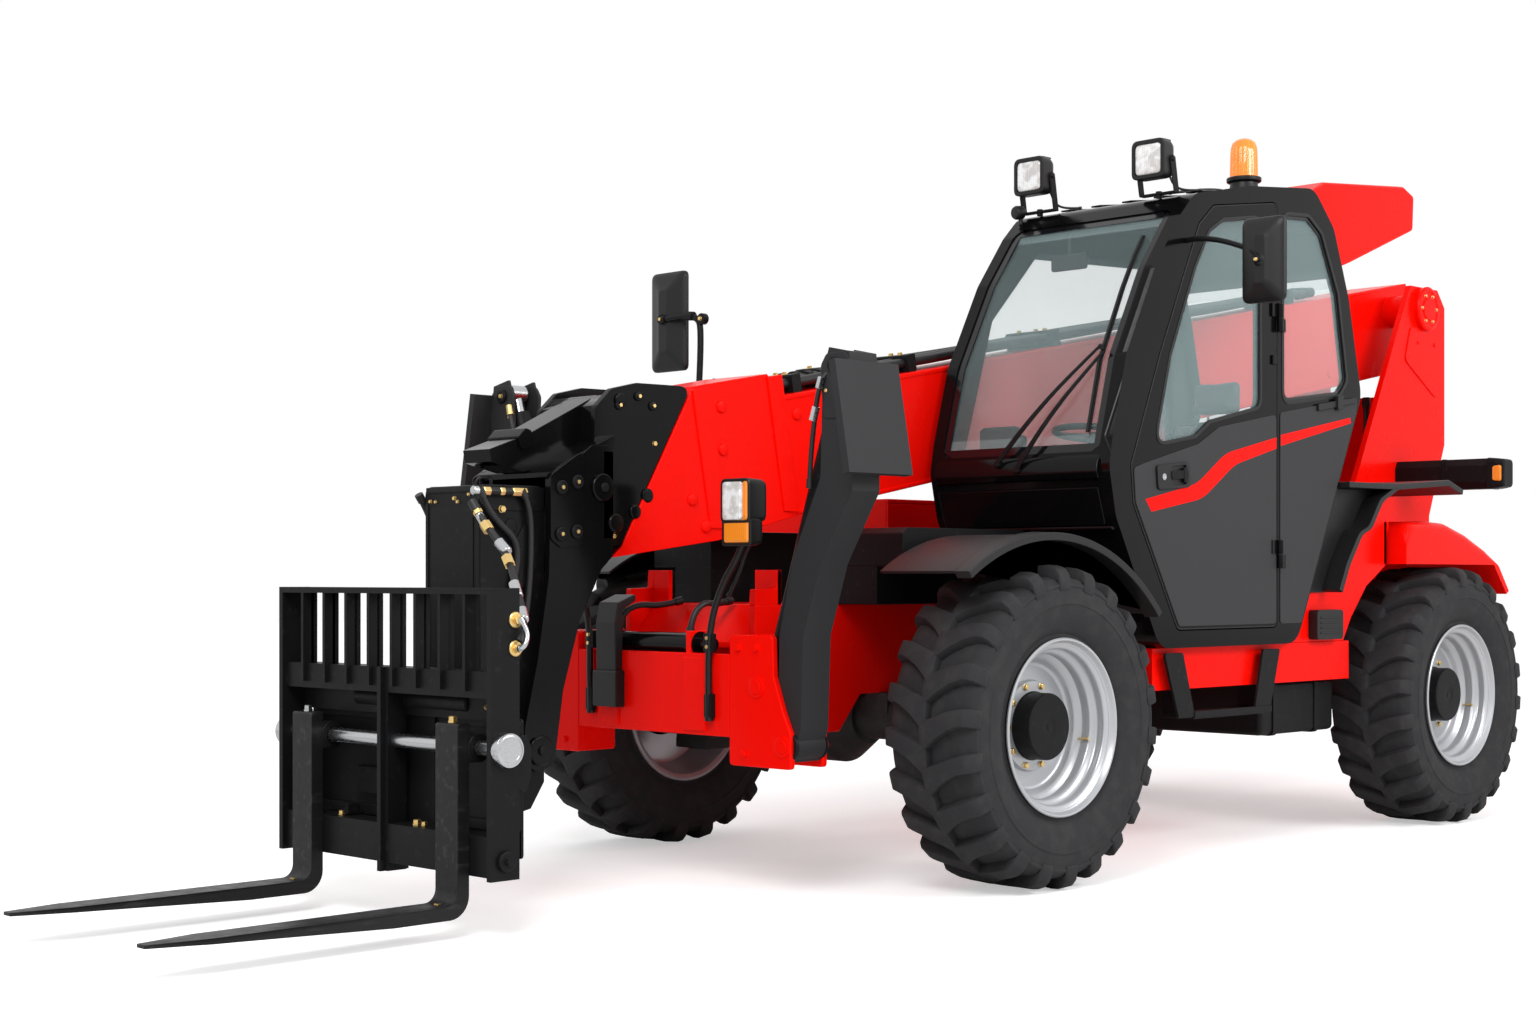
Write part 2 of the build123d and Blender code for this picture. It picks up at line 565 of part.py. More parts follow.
def fork_carriage():
    back, front = CARRIAGE_BACK_X, CARRIAGE_FRONT_X
    half, side = CARRIAGE_HALF, CARRIAGE_SIDE
    seat = FORK_FACE_X - FORK_SHANK - SEAT_GAP
    cheek = side_slab([(back, CARRIAGE_BOTTOM_Z), (front, CARRIAGE_BOTTOM_Z), (front, CARRIAGE_TOP_Z),
                       (back, CARRIAGE_TOP_Z)], half - side, half)
    frame = both_sides(cheek)
    frame += block(back, seat, side - half, half - side, *CARRIAGE_FOOT_Z)
    frame += block(back, seat, side - half, half - side, *CARRIAGE_BAND_Z)
    frame += block(back + 40, front, side - half, half - side, CARRIAGE_TOP_Z - 20, CARRIAGE_TOP_Z)
    pitch = (2 * half - side) / (GRILLE_BARS + 1)
    for i in range(GRILLE_BARS):
        y = side / 2 - half + pitch * (i + 1)
        frame += block(back + 55, back + 80, y - GRILLE_BAR / 2, y + GRILLE_BAR / 2, CARRIAGE_BAND_Z[1],
                       CARRIAGE_TOP_Z - 20)
    frame += block(back, front, -10, 10, 170, CARRIAGE_BAND_Z[1])
    frame += block(back, back + 20, side - half, half - side, 690, CARRIAGE_BAND_Z[0])
    frame -= cross_bar(SHAFT_X, SHAFT_Z, -half - 1, half + 1, SHAFT_RADIUS)
    return frame


def fork_shaft():
    shaft = cross_bar(SHAFT_X, SHAFT_Z, -CARRIAGE_HALF, CARRIAGE_HALF, SHAFT_RADIUS)
    return shaft + both_sides(cross_bar(SHAFT_X, SHAFT_Z, CARRIAGE_HALF, CARRIAGE_HALF + 28, 54))


def fork(side):
    back = FORK_FACE_X - FORK_SHANK
    bottom = FORK_TOP_Z - FORK_HEEL
    profile = [(back, bottom + 60), (back + 40, bottom), (FORK_FACE_X + 240, bottom),
               (FORK_TIP_X, FORK_TOP_Z - FORK_TIP), (FORK_TIP_X, FORK_TOP_Z),
               (FORK_FACE_X + 25, FORK_TOP_Z), (FORK_FACE_X, FORK_TOP_Z + 30),
               (FORK_FACE_X, SHANK_TOP_Z), (back, SHANK_TOP_Z)]
    y0, y1 = FORK_Y - FORK_WIDTH / 2, FORK_Y + FORK_WIDTH / 2
    piece = side_slab(profile, y0, y1)
    piece += cross_bar(SHAFT_X, SHAFT_Z, y0, y1, 46)
    piece += side_slab([(SHAFT_X, SHAFT_Z - 46), (back + 5, SHAFT_Z - 46), (back + 5, SHAFT_Z + 46),
                        (SHAFT_X, SHAFT_Z + 46)], y0, y1)
    piece -= cross_bar(SHAFT_X, SHAFT_Z, y0 - 1, y1 + 1, SHAFT_RADIUS + SEAT_GAP)
    tip = plan_slab([(FORK_TIP_X - 200, y0 - 1), (FORK_TIP_X + 1, y0 - 1), (FORK_TIP_X + 1, y0 + 38)], 0, 200)
    piece -= tip
    piece -= plan_slab([(FORK_TIP_X - 200, y1 + 1), (FORK_TIP_X + 1, y1 + 1), (FORK_TIP_X + 1, y1 - 38)], 0, 200)
    return piece if side > 0 else mirrored(piece)


# ---------------------------------------------------------------------- cab
def cab_windows():
    """Tools that cut the cab's openings, each running right through its wall."""
    wide = (CAB_RIGHT_Y + 75, CAB_LEFT_Y - 75)
    screen = side_slab([(-485, 1640), (-380, 1640), (-380, 2600), (-870, 2600), (-1000, 2560), (-600, 1640)],
                       *wide)
    back = side_slab([(-2100, 1850), (-2500, 1850), (-2500, 2500), (-2040, 2500)], *wide)
    right = side_slab([(-640, 1600), (-2120, 1600), (-2080, 2300), (-1960, 2600), (-1080, 2560)],
                      CAB_RIGHT_Y - 1, CAB_RIGHT_Y + CAB_WALL + 1)
    rear_side = side_slab(REAR_WINDOW, CAB_LEFT_Y - CAB_WALL - 1, CAB_LEFT_Y + 1)
    return screen, back, right, rear_side


def cab_solid():
    return side_slab(CAB_SIDE, CAB_RIGHT_Y, CAB_LEFT_Y)


def cab_shell():
    shell = cab_solid()
    inner = side_plane(CAB_RIGHT_Y + CAB_WALL) * offset(outline(CAB_SIDE), amount=-CAB_WALL, kind=Kind.INTERSECTION)
    shell -= extrude(inner, amount=CAB_LEFT_Y - CAB_RIGHT_Y - 2 * CAB_WALL, dir=(0, 1, 0))
    for tool in cab_windows():
        shell -= tool
    way = side_plane(CAB_LEFT_Y - CAB_WALL - 1) * offset(outline(DOOR_SIDE), amount=DOOR_GAP, kind=Kind.INTERSECTION)
    shell -= extrude(way, amount=CAB_WALL + 2, dir=(0, 1, 0))
    return shell + door_hinges(-1)


def cab_glass():
    outer = offset(outline(CAB_SIDE), amount=-12, kind=Kind.INTERSECTION)
    inner = offset(outline(CAB_SIDE), amount=-12 - GLASS, kind=Kind.INTERSECTION)
    ring = extrude(side_plane(CAB_RIGHT_Y) * (outer - inner), amount=CAB_LEFT_Y - CAB_RIGHT_Y, dir=(0, 1, 0))
    screen, back, right, rear_side = cab_windows()
    panes = (ring & screen) + (ring & back)
    panes += right & block(-3000, 0, CAB_RIGHT_Y + 12, CAB_RIGHT_Y + 12 + GLASS, 0, 3000)
    panes += rear_side & block(-3000, 0, CAB_LEFT_Y - 12 - GLASS, CAB_LEFT_Y - 12, 0, 3000)
    return panes


def door_hinges(side):
    """Hinge knuckles: the door's (side 1) carry it on the cab's (side -1)."""
    x, y = DOOR_AXIS
    halves = None
    for z in HINGE_Z:
        low, high = (z, z + HINGE_LENGTH) if side > 0 else (z - HINGE_LENGTH, z - SEAT_GAP)
        knuckle_half = bar((x, y, low), (x, y, high), HINGE_RADIUS)
        knuckle_half += block(x, x + side * 50, CAB_LEFT_Y, CAB_LEFT_Y + 10, low, high)
        halves = knuckle_half if halves is None else halves + knuckle_half
    return halves


def cab_door():
    door = side_slab(DOOR_SIDE, CAB_LEFT_Y - CAB_WALL, CAB_LEFT_Y)
    door += door_hinges(1)
    door -= side_slab(DOOR_WINDOW, CAB_LEFT_Y - CAB_WALL - 1, CAB_LEFT_Y + 1)
    return door


def door_glass():
    return side_slab(DOOR_WINDOW, CAB_LEFT_Y - 12 - GLASS, CAB_LEFT_Y - 12)


def roof_cowl():
    side = [(-1880, 2800), (-2060, 2890), (-2760, 2960), (-2860, 2925), (-2850, 2765), (-2290, 2560),
            (-2100, 2500), (-2040, 2660)]
    return side_slab(side, 240, 1060) - cab_solid()


def operator_seat():
    seat = side_slab([(-1330, 1260), (-1300, 1330), (-1340, 1390), (-1780, 1370), (-1780, 1260)], 400, 900)
    seat += side_slab([(-1700, 1370), (-1840, 1990), (-1900, 2020), (-1960, 1980), (-1830, 1300), (-1700, 1300)],
                      410, 890)
    seat += block(-1690, -1360, 450, 850, DECK_Z + CAB_WALL, 1260)
    return seat


WHEEL_AT = (-950.0, 650.0, 1750.0)
COLUMN_FOOT = (-860.0, 650.0, 1000.0)


def steering_column():
    run = Vector(*WHEEL_AT) - Vector(*COLUMN_FOOT)
    end = Vector(*WHEEL_AT) - run.normalized() * 40.3
    column = bar(COLUMN_FOOT, tuple(end), 40)
    return column + block(-930, -790, 560, 740, DECK_Z + CAB_WALL, 1010)


def steering_wheel():
    run = Vector(*WHEEL_AT) - Vector(*COLUMN_FOOT)
    frame = Plane(origin=WHEEL_AT, x_dir=(0, 1, 0), z_dir=run)
    wheel = Torus(180, 14)
    wheel += Pos(0, 0, -20) * Cylinder(38, 40)
    for turn in (90, 210, 330):
        wheel += Rot(0, 0, turn) * Pos(100, 0, -8) * Box(170, 24, 10)
    return frame * wheel


# ------------------------------------------------------- engine and bodywork
def engine_hood():
    x0, x1 = HOOD_X
    y0, y1 = HOOD_Y
    z0, z1 = HOOD_Z
    hood = block(x0, x1, y0, y1, z0 + SEAT_GAP, z1)
    hood -= block(x0 + HOOD_WALL, x1 - HOOD_WALL, y0 + HOOD_WALL, y1 + 1, z0, z1 - HOOD_WALL)
    side = block(x0 - 1, x1 + 1, -PLATE_Y - 1, y1 + 1, z0, z1 - HOOD_WALL)
    return hood - side


def engine_block():
    return block(-2000, -1000, -980, -450, DECK_Z, 1350)


def front_fenders():
    wing = arc_band((520, 1165), (60, 1300), (-600, 1010), 12, 750, 1180)
    wing += block(-440, -400, 345, 760, 1168, 1192)
    wing += block(-440, -400, PLATE_INNER_Y, PLATE_Y, FRONT_TOP_Z, 1192)
    return both_sides(wing)


def arc_band(start, mid, end, thickness, y0, y1):
    """A curved sheet over a wheel: its underside is the arc through three x, z points."""
    lower = ThreePointArc(start, mid, end)
    centre = lower.arc_center
    grow = 1 + thickness / lower.radius
    raised = [(centre.X + (x - centre.X) * grow, centre.Y + (z - centre.Y) * grow) for x, z in (start, mid, end)]
    upper = ThreePointArc(*raised)
    face = make_face([lower, upper, Line(start, raised[0]), Line(end, raised[2])])
    return extrude(side_plane(y0) * face, amount=y1 - y0, dir=(0, 1, 0))


def rear_fenders():
    wing = arc_band((REAR_AXLE_X + 640, 1010), (REAR_AXLE_X, 1330), (REAR_AXLE_X - 640, 1010), 60, PLATE_Y, 1040)
    return both_sides(wing)


def rear_guards():
    band = arc_band((-2060, 1090), (-2230, 1470), (-2560, 1560), 25, PLATE_Y + 90, 1150)
    band += block(-3170, -2550, PLATE_INNER_Y, 1150, 1560, 1585)
    band += block(-3170, -3130, PLATE_INNER_Y, PLATE_Y, REAR_TOP_Z, 1560)
    engine_side = mirrored(band) - block(HOOD_X[0] - 15, 0, -2000, 0, 0, 3000)
    return band + engine_side


def headlamps():
    y = 515
    lamp = block(930, 1040, y - 75, y + 75, 1345, 1505)
    lamp += block(950, 1040, y - 75, y + 75, 1262, 1345)
    stalk = block(BEAM_FRONT_X, BEAM_FRONT_X + 25, 310, 350, 640, 1000)
    stalk += front_slab([(310, 990), (350, 990), (y + 15, 1262), (y - 25, 1262)], BEAM_FRONT_X, BEAM_FRONT_X + 25)
    return both_sides(lamp + stalk)


def roof_lamps():
    lamps = None
    for y, z in ((319, 2861), (927, 2850)):
        lamp = block(-1000, -900, y - 80, y + 80, z - 80, z + 80)
        lamp += bar((-1010, y, 2700), (-1010, y, z), 15)
        lamps = lamp if lamps is None else lamps + lamp
    return lamps - cab_solid()


def beacon():
    x, y = BEACON_AT
    foot = bar((x, y, 2780), (x, y, BEACON_FOOT_Z), 75) - cab_solid()
    return foot + bar((x, y, BEACON_FOOT_Z), (x, y, BEACON_FOOT_Z + BEACON_HEIGHT), 62)


def rear_lamps():
    arm = block(-4080, -3960, PLATE_Y, 900, 1600, 1760)
    return both_sides(arm + block(-4080, -3960, 900, 960, 1620, 1740))


def mirrors():
    left = block(-860, -800, 1410, 1600, 2210, 2540)
    left += bar((-945, 1080, 2506), (-840, 1500, 2380), 14) - cab_solid()
    right = block(-500, -430, -1600, -1360, 2120, 2590)
    post = bar((-300, -1150, 1180), (-420, -1200, 2300), 17) - front_fenders()
    right += post.solids().sort_by(Axis.Z)[-1]
    right += bar((-420, -1200, 2300), (-465, -1480, 2350), 17)
    return left, right


# ------------------------------------------------------------------- export
CORNERS = [("fl", FRONT_AXLE_X, 1), ("fr", FRONT_AXLE_X, -1), ("rl", REAR_AXLE_X, 1), ("rr", REAR_AXLE_X, -1)]


def lift_cylinder(piece):
    tip_x, tip_z = boom_point(LIFT_S, LIFT_T)
    base = (LIFT_BASE[0], 0, LIFT_BASE[1])
    tip = (tip_x, 0, tip_z)
    if piece == "barrel":
        return cylinder_barrel(base, tip, (0, 1, 0), LIFT_BARREL, LIFT_ROD, 85, 60, 45, 150)
    return cylinder_rod(base, tip, (0, 1, 0), LIFT_ROD, 98, 70, 60, 35)


def tilt_cylinder(piece):
    base = (TILT_BASE[0], 0, TILT_BASE[1])
    tip = (TILT_EYE[0], 0, TILT_EYE[1])
    if piece == "barrel":
        return cylinder_barrel(base, tip, (0, 1, 0), TILT_BARREL, TILT_ROD, 52, 40, TILT_PIN, 110)
    return cylinder_rod(base, tip, (0, 1, 0), TILT_ROD, 120, 45, 35, 25)


def build():
    left_mirror, right_mirror = mirrors()
    nodes = {
        "chassis_frame": chassis_frame(), "boom_tower": boom_tower(), "front_beam": front_beam(),
        "rear_counterweight": rear_counterweight(), "side_platforms": side_platforms(),
        "fuel_tank": fuel_tank(), "cab_step": cab_step(),
        "axle_front": axle(FRONT_AXLE_X), "axle_rear": axle(REAR_AXLE_X),
        "cab_shell": cab_shell(), "cab_glass": cab_glass(), "roof_cowl": roof_cowl(),
        "operator_seat": operator_seat(), "steering_column": steering_column(),
        "engine_block": engine_block(), "front_fenders": front_fenders(), "rear_fenders": rear_fenders(),
        "rear_guards": rear_guards(), "headlamps": headlamps(), "roof_lamps": roof_lamps(),
        "beacon": beacon(), "rear_lamps": rear_lamps(), "mirror_left": left_mirror,
        "mirror_right": right_mirror,
        "boom_outer": boom_outer(), "boom_hoses": boom_hoses(), "boom_mid": boom_mid(),
        "boom_inner": boom_inner(), "boom_head": boom_head(),
        "lift_barrel": lift_cylinder("barrel"), "lift_rod": lift_cylinder("rod"),
        "tilt_barrel": tilt_cylinder("barrel"), "tilt_rod": tilt_cylinder("rod"),
        "hitch_frame": hitch_frame(), "fork_carriage": fork_carriage(), "fork_shaft": fork_shaft(),
        "fork_left": fork(1), "fork_right": fork(-1),
        "cab_door": cab_door(), "door_glass": door_glass(), "engine_hood": engine_hood(),
        "steering_wheel": steering_wheel(),
    }
    for tag, side in (("left", 1), ("right", -1)):
        nodes["leg_" + tag] = stabiliser_leg(side)
        nodes["leg_barrel_" + tag] = leg_cylinder(side, "barrel")
        nodes["leg_rod_" + tag] = leg_cylinder(side, "rod")
    for tag, x, side in CORNERS:
        nodes["tyre_" + tag] = tyre(x, side)
        nodes["rim_" + tag] = rim(x, side)
        nodes["knuckle_" + tag] = knuckle(x, side)
    return nodes


NODES = {name: Pos(-ORIGIN_X, 0, 0) * shape for name, shape in build().items()}
for name, shape in NODES.items():
    export_step(shape, f"parts/{name}.step")
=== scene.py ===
"""Telehandler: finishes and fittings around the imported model.

Metres in Blender. Places and sizes in this file are written in millimetres:
x forward from the front axle, y to the machine's left, z up from the ground.
"""
import json
import math

import bmesh
import bpy
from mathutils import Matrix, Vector


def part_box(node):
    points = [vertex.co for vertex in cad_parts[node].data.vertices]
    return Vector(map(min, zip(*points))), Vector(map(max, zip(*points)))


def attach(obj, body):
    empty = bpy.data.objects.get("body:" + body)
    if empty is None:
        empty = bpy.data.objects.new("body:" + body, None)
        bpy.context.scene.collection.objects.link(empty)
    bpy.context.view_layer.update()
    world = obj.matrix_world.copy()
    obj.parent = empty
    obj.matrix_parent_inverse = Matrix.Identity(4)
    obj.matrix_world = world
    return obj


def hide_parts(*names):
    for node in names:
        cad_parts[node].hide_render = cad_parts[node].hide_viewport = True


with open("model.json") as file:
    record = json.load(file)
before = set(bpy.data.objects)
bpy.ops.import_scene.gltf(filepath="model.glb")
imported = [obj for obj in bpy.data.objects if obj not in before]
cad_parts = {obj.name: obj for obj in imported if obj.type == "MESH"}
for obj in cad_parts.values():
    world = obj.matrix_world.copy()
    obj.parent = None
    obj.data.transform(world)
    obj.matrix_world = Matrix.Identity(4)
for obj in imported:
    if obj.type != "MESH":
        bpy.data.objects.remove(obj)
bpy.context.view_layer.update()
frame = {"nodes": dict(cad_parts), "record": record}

MM = 0.001
LEFT, RIGHT = 1, -1
BOTH = (LEFT, RIGHT)
SIDES = (("left", LEFT), ("right", RIGHT))
CORNERS = (("fl", LEFT), ("fr", RIGHT), ("rl", LEFT), ("rr", RIGHT))


def node_middle(node):
    low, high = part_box(node)
    return (low + high) / 2


FRONT_AXLE = node_middle("tyre_fl")
BODY_OF = {node: body for body, members in frame["record"]["behaviour"]["bodies"].items()
           for node in members}


def spot(x, y, z):
    """A place in metres from its millimetres off the front axle, the middle and the ground."""
    return Vector((FRONT_AXLE.x + x * MM, y * MM, z * MM))


def wheel_place(tag):
    """Millimetres from the front axle, the middle and the ground to a wheel's middle."""
    middle = node_middle("tyre_" + tag)
    return (middle.x - FRONT_AXLE.x) / MM, middle.y / MM, middle.z / MM


# ------------------------------------------------------------------- shader kit
class Wire:
    """A shader socket that plain arithmetic can be written with."""

    def __init__(self, finish, socket):
        self.finish = finish
        self.socket = socket

    def maths(self, operation, first, second):
        return self.finish.node("Math", {0: first, 1: second}, operation=operation)

    def __add__(self, other):
        return self.maths("ADD", self, other)

    def __radd__(self, other):
        return self.maths("ADD", other, self)

    def __mul__(self, other):
        return self.maths("MULTIPLY", self, other)

    def __rmul__(self, other):
        return self.maths("MULTIPLY", other, self)

    def above(self, level, width):
        """0 below level, 1 above it, blended over width."""
        return self.finish.node("MapRange", {"Value": self, "From Min": level - width,
                                             "From Max": level + width},
                                interpolation_type="SMOOTHSTEP")


class Finish:
    """One material, its Principled shader and the nodes that feed it."""

    def __init__(self, name, colour, roughness, metallic=0.0, **numbers):
        self.material = bpy.data.materials.new(name)
        self.material.use_nodes = True
        self.tree = self.material.node_tree
        self.shader = self.tree.nodes["Principled BSDF"]
        self.colour = (*colour, 1.0)
        self.feed(self.shader.inputs["Base Color"], self.colour)
        self.feed(self.shader.inputs["Roughness"], roughness)
        self.feed(self.shader.inputs["Metallic"], metallic)
        for socket, number in numbers.items():
            label = socket.replace("_", " ").title().replace("Ior", "IOR")
            self.feed(self.shader.inputs[label], number)
        self.place = self.node("TexCoord", output="Object")

    def feed(self, socket, value):
        if isinstance(value, Wire):
            self.tree.links.new(value.socket, socket)
        else:
            socket.default_value = value

    def node(self, kind, values=None, output=0, **settings):
        made = self.tree.nodes.new("ShaderNode" + kind)
        for name, setting in settings.items():
            setattr(made, name, setting)
        for key, value in (values or {}).items():
            self.feed(made.inputs[key], value)
        return Wire(self, made.outputs[output])

    def noise(self, scale, detail=3.0, stretch=(1.0, 1.0, 1.0)):
        place = self.place
        if stretch != (1.0, 1.0, 1.0):
            place = self.node("Mapping", {"Vector": place, "Scale": stretch})
        return self.node("TexNoise", {"Vector": place, "Scale": scale, "Detail": detail})

    def mix(self, factor, first, second):
        return self.node("Mix", {0: factor, 6: first, 7: second}, output=2, data_type="RGBA")

    def tint(self, factor, shade):
        """Blend the base colour towards a shade."""
        self.feed(self.shader.inputs["Base Color"], self.mix(factor, self.colour, (*shade, 1.0)))

    def rough(self, wire):
        self.feed(self.shader.inputs["Roughness"], wire)

    def bump(self, height, depth_mm):
        bump = self.node("Bump", {"Height": height, "Strength": 1.0, "Distance": depth_mm * MM})
        self.feed(self.shader.inputs["Normal"], bump)


def paint(slot, name, colour, roughness, tint, rough, relief, metallic=0.0, **numbers):
    """A finish varied by noise.

    tint is (noise, share, shade) or (noise, share, shade, level, width), rough is (least, noise,
    share) and relief is (noise, millimetres). A noise is (scale, detail, stretch).
    """
    f = Finish(name, colour, roughness, metallic, **numbers)
    if tint:
        noise, share, shade, *step = tint
        cloud = f.noise(*noise)
        f.tint((cloud.above(*step) if step else cloud) * share, shade)
    least, noise, share = rough
    f.rough(least + f.noise(*noise) * share)
    if relief:
        f.bump(f.noise(*relief[0]), relief[1])
    return f


def lens(name, slot, colour, transmission, ribs, glow=0.0):
    """Moulded plastic with upright ribs; an opaque one gets painted reflections, a mottle that stands
    for its reflector showing through.
    """
    # an opaque lens: darker painted blotches stand for reflections in the reflector behind it
    painted_reflection = None if transmission else ((26.0, 3.0), 0.7, (0.46, 0.43, 0.40), 0.5, 0.12)
    f = paint(slot, name, colour, 0.12, painted_reflection, (0.08, (50.0,), 0.08), None,
              transmission_weight=transmission, ior=1.4, coat_weight=0.6, emission_strength=glow)
    f.feed(f.shader.inputs["Emission Color"], (*colour, 1.0))
    f.bump(f.node("TexWave", {"Vector": f.place, "Scale": ribs, "Distortion": 0.0}, output=1,
                  bands_direction="Y"), 0.8)
    return f.material


def seat_vinyl():
    f = paint("seat", "seat_vinyl", (0.035, 0.036, 0.038), 0.62, ((6.0,), 0.6, (0.055, 0.056, 0.058)),
              (0.55, (90.0,), 0.15), None, sheen_weight=0.25)
    f.bump(f.node("TexVoronoi", {"Vector": f.place, "Scale": 420.0}), 0.2)
    return f.material


RED = paint("red_paint", "red_gloss_paint", (0.93, 0.004, 0.001), 0.3,
            ((2.3,), 0.3, (0.84, 0.003, 0.001)), (0.2, (9.0,), 0.12), ((240.0, 2.0), 0.04),
            specular_ior_level=0.07).material
BLACK = paint("black_paint", "black_gloss_paint", (0.0025, 0.0025, 0.0028), 0.22,
              ((5.0,), 0.4, (0.006, 0.006, 0.0065)), (0.10, (14.0,), 0.10), ((210.0, 2.0), 0.05),
              specular_ior_level=0.14).material
SATIN = paint("black_paint", "satin_black_paint", (0.007, 0.007, 0.0078), 0.42,
              ((30.0, 8.0), 0.35, (0.024, 0.024, 0.026), 0.66, 0.05), (0.34, (40.0,), 0.2),
              ((700.0, 2.0), 0.06), specular_ior_level=0.12).material
FORK = paint("iron", "fork_black_paint", (0.007, 0.007, 0.0075), 0.4,
             ((6.0, 9.0, (1.0, 6.0, 6.0)), 0.5, (0.04, 0.04, 0.043), 0.62, 0.08),
             (0.3, (25.0, 6.0), 0.3), ((400.0, 3.0), 0.08), specular_ior_level=0.25).material
LEG = paint("black_paint", "dark_grey_powder_coat", (0.021, 0.021, 0.0225), 0.5,
            ((1100.0, 1.0), 0.5, (0.032, 0.032, 0.034)), (0.42, (60.0,), 0.14), ((900.0, 2.0), 0.10),
            specular_ior_level=0.15).material
GREY = paint("grey_panel", "grained_grey_panel", (0.036, 0.036, 0.038), 0.55,
             ((1600.0, 1.0), 0.6, (0.046, 0.046, 0.048)), (0.5, (80.0,), 0.1), ((1300.0, 2.0), 0.10),
             specular_ior_level=0.12).material
PLASTIC = paint("plastic", "moulded_black_plastic", (0.007, 0.007, 0.0075), 0.4,
                ((3.0,), 0.5, (0.012, 0.012, 0.0135)), (0.34, (900.0, 2.0), 0.16),
                ((1500.0, 2.0), 0.06), specular_ior_level=0.3).material
RUBBER = paint("tyre", "tyre_rubber", (0.024, 0.024, 0.026), 0.75,
               ((18.0, 6.0), 0.35, (0.045, 0.044, 0.043), 0.56, 0.12), (0.62, (160.0, 4.0), 0.25),
               ((420.0, 5.0), 0.35), specular_ior_level=0.2).material
SILVER = paint("silver_rim", "silver_rim_paint", (0.50, 0.51, 0.53), 0.36,
               ((2600.0, 1.0), 0.5, (0.42, 0.43, 0.45)), (0.26, (12.0,), 0.14), ((600.0, 2.0), 0.03),
               0.55).material
BRUSHED = (30.0, 6.0, (1.0, 12.0, 12.0))
STEEL = paint("steel", "bright_steel", (0.56, 0.57, 0.58), 0.22, (BRUSHED, 0.5, (0.36, 0.36, 0.37)),
              (0.12, BRUSHED, 0.25), ((300.0, 3.0), 0.03), 1.0).material
GOLD = paint("steel", "gold_zinc_plate", (0.78, 0.52, 0.17), 0.3, ((60.0,), 0.6, (0.70, 0.58, 0.34)),
             (0.22, (120.0,), 0.25), ((500.0, 2.0), 0.04), 1.0).material
IRON = paint("iron", "painted_iron", (0.014, 0.013, 0.013), 0.6,
             ((14.0, 6.0), 0.5, (0.032, 0.028, 0.025), 0.58, 0.1), (0.5, (50.0,), 0.3),
             ((130.0, 6.0), 0.5), specular_ior_level=0.4).material
HOSE = paint("plastic", "hose_rubber", (0.009, 0.009, 0.010), 0.42,
             ((200.0,), 0.4, (0.018, 0.018, 0.019)), (0.36, (300.0,), 0.2), ((900.0, 3.0), 0.08),
             specular_ior_level=0.4).material
SEAT = seat_vinyl()
MIRROR = paint("steel", "mirror_face", (0.82, 0.84, 0.86), 0.04, None, (0.03, (8.0,), 0.03), None,
               1.0).material
BORDER = paint("glass", "black_glass_border", (0.006, 0.006, 0.007), 0.12, None, (0.08, (20.0,), 0.08),
               None, specular_ior_level=0.4).material
GLASS = paint("glass", "pale_teal_glass", (0.50, 0.66, 0.67), 0.03, ((0.9,), 0.3, (0.46, 0.62, 0.63)),
              (0.02, (3.0,), 0.02), None, alpha=0.17, specular_ior_level=0.4).material
CLEAR = lens("clear_lens", "glass", (0.86, 0.87, 0.88), 0.0, 30.0)
AMBER = lens("amber_lens", "amber", (1.0, 0.30, 0.02), 0.35, 34.0, 0.25)
RED_LENS = lens("red_lens", "amber", (0.75, 0.02, 0.01), 0.3, 34.0, 0.1)


# --------------------------------------------------------------------- mesh kit
NEARLY_STRAIGHT = math.radians(88)     # half the angle of a corner that needs no round
REACH_SHARE = 0.48                     # of a side, at most, goes into the round at one end


def corner_arc(before, corner, after, radius, steps):
    """Points of the round that takes off one corner of an outline."""
    a = (Vector(before) - Vector(corner)).normalized()
    b = (Vector(after) - Vector(corner)).normalized()
    half = a.angle(b) / 2
    if half > NEARLY_STRAIGHT:
        return [tuple(corner)]
    reach = min(radius / math.tan(half), REACH_SHARE * (Vector(before) - Vector(corner)).length,
                REACH_SHARE * (Vector(after) - Vector(corner)).length)
    start = Vector(corner) + a * reach
    end = Vector(corner) + b * reach
    out = []
    for i in range(steps + 1):
        t = i / steps
        along = (1 - t) ** 2 * start + 2 * t * (1 - t) * Vector(corner) + t ** 2 * end
        out.append(tuple(along))
    return out


def rounded(points, radius, steps=4):
    """An outline with each of its corners taken off."""
    count = len(points)
    out = []
    for i, point in enumerate(points):
        out += corner_arc(points[i - 1], point, points[(i + 1) % count], radius, steps)
    return out


def place_on(axis, u, v, depth):
    """x, y, z from an outline's u, v and the place along its axis."""
    if axis == "y":
        return spot(u, depth, v)
    if axis == "x":
        return spot(depth, u, v)
    return spot(u, v, depth)


def add_slab(bm, points, axis, low, high, radius=0.0, steps=4):
    """A closed plate: an outline, its corners rounded, taken from low to high along its axis."""
    if radius:
        points = rounded(points, radius, steps)
    fill_stack(bm, [[bm.verts.new(place_on(axis, u, v, depth)) for u, v in points]
                    for depth in (low, high)])


def add_block(bm, x0, x1, y0, y1, z0, z1):
    add_slab(bm, [(x0, y0), (x1, y0), (x1, y1), (x0, y1)], "z", z0, z1)


def across(direction):
    """Two unit vectors square to a direction and to each other."""
    other = Vector((0, 0, 1)) if abs(direction.z) < 0.9 else Vector((1, 0, 0))
    u = direction.cross(other).normalized()
    return u, direction.cross(u).normalized()


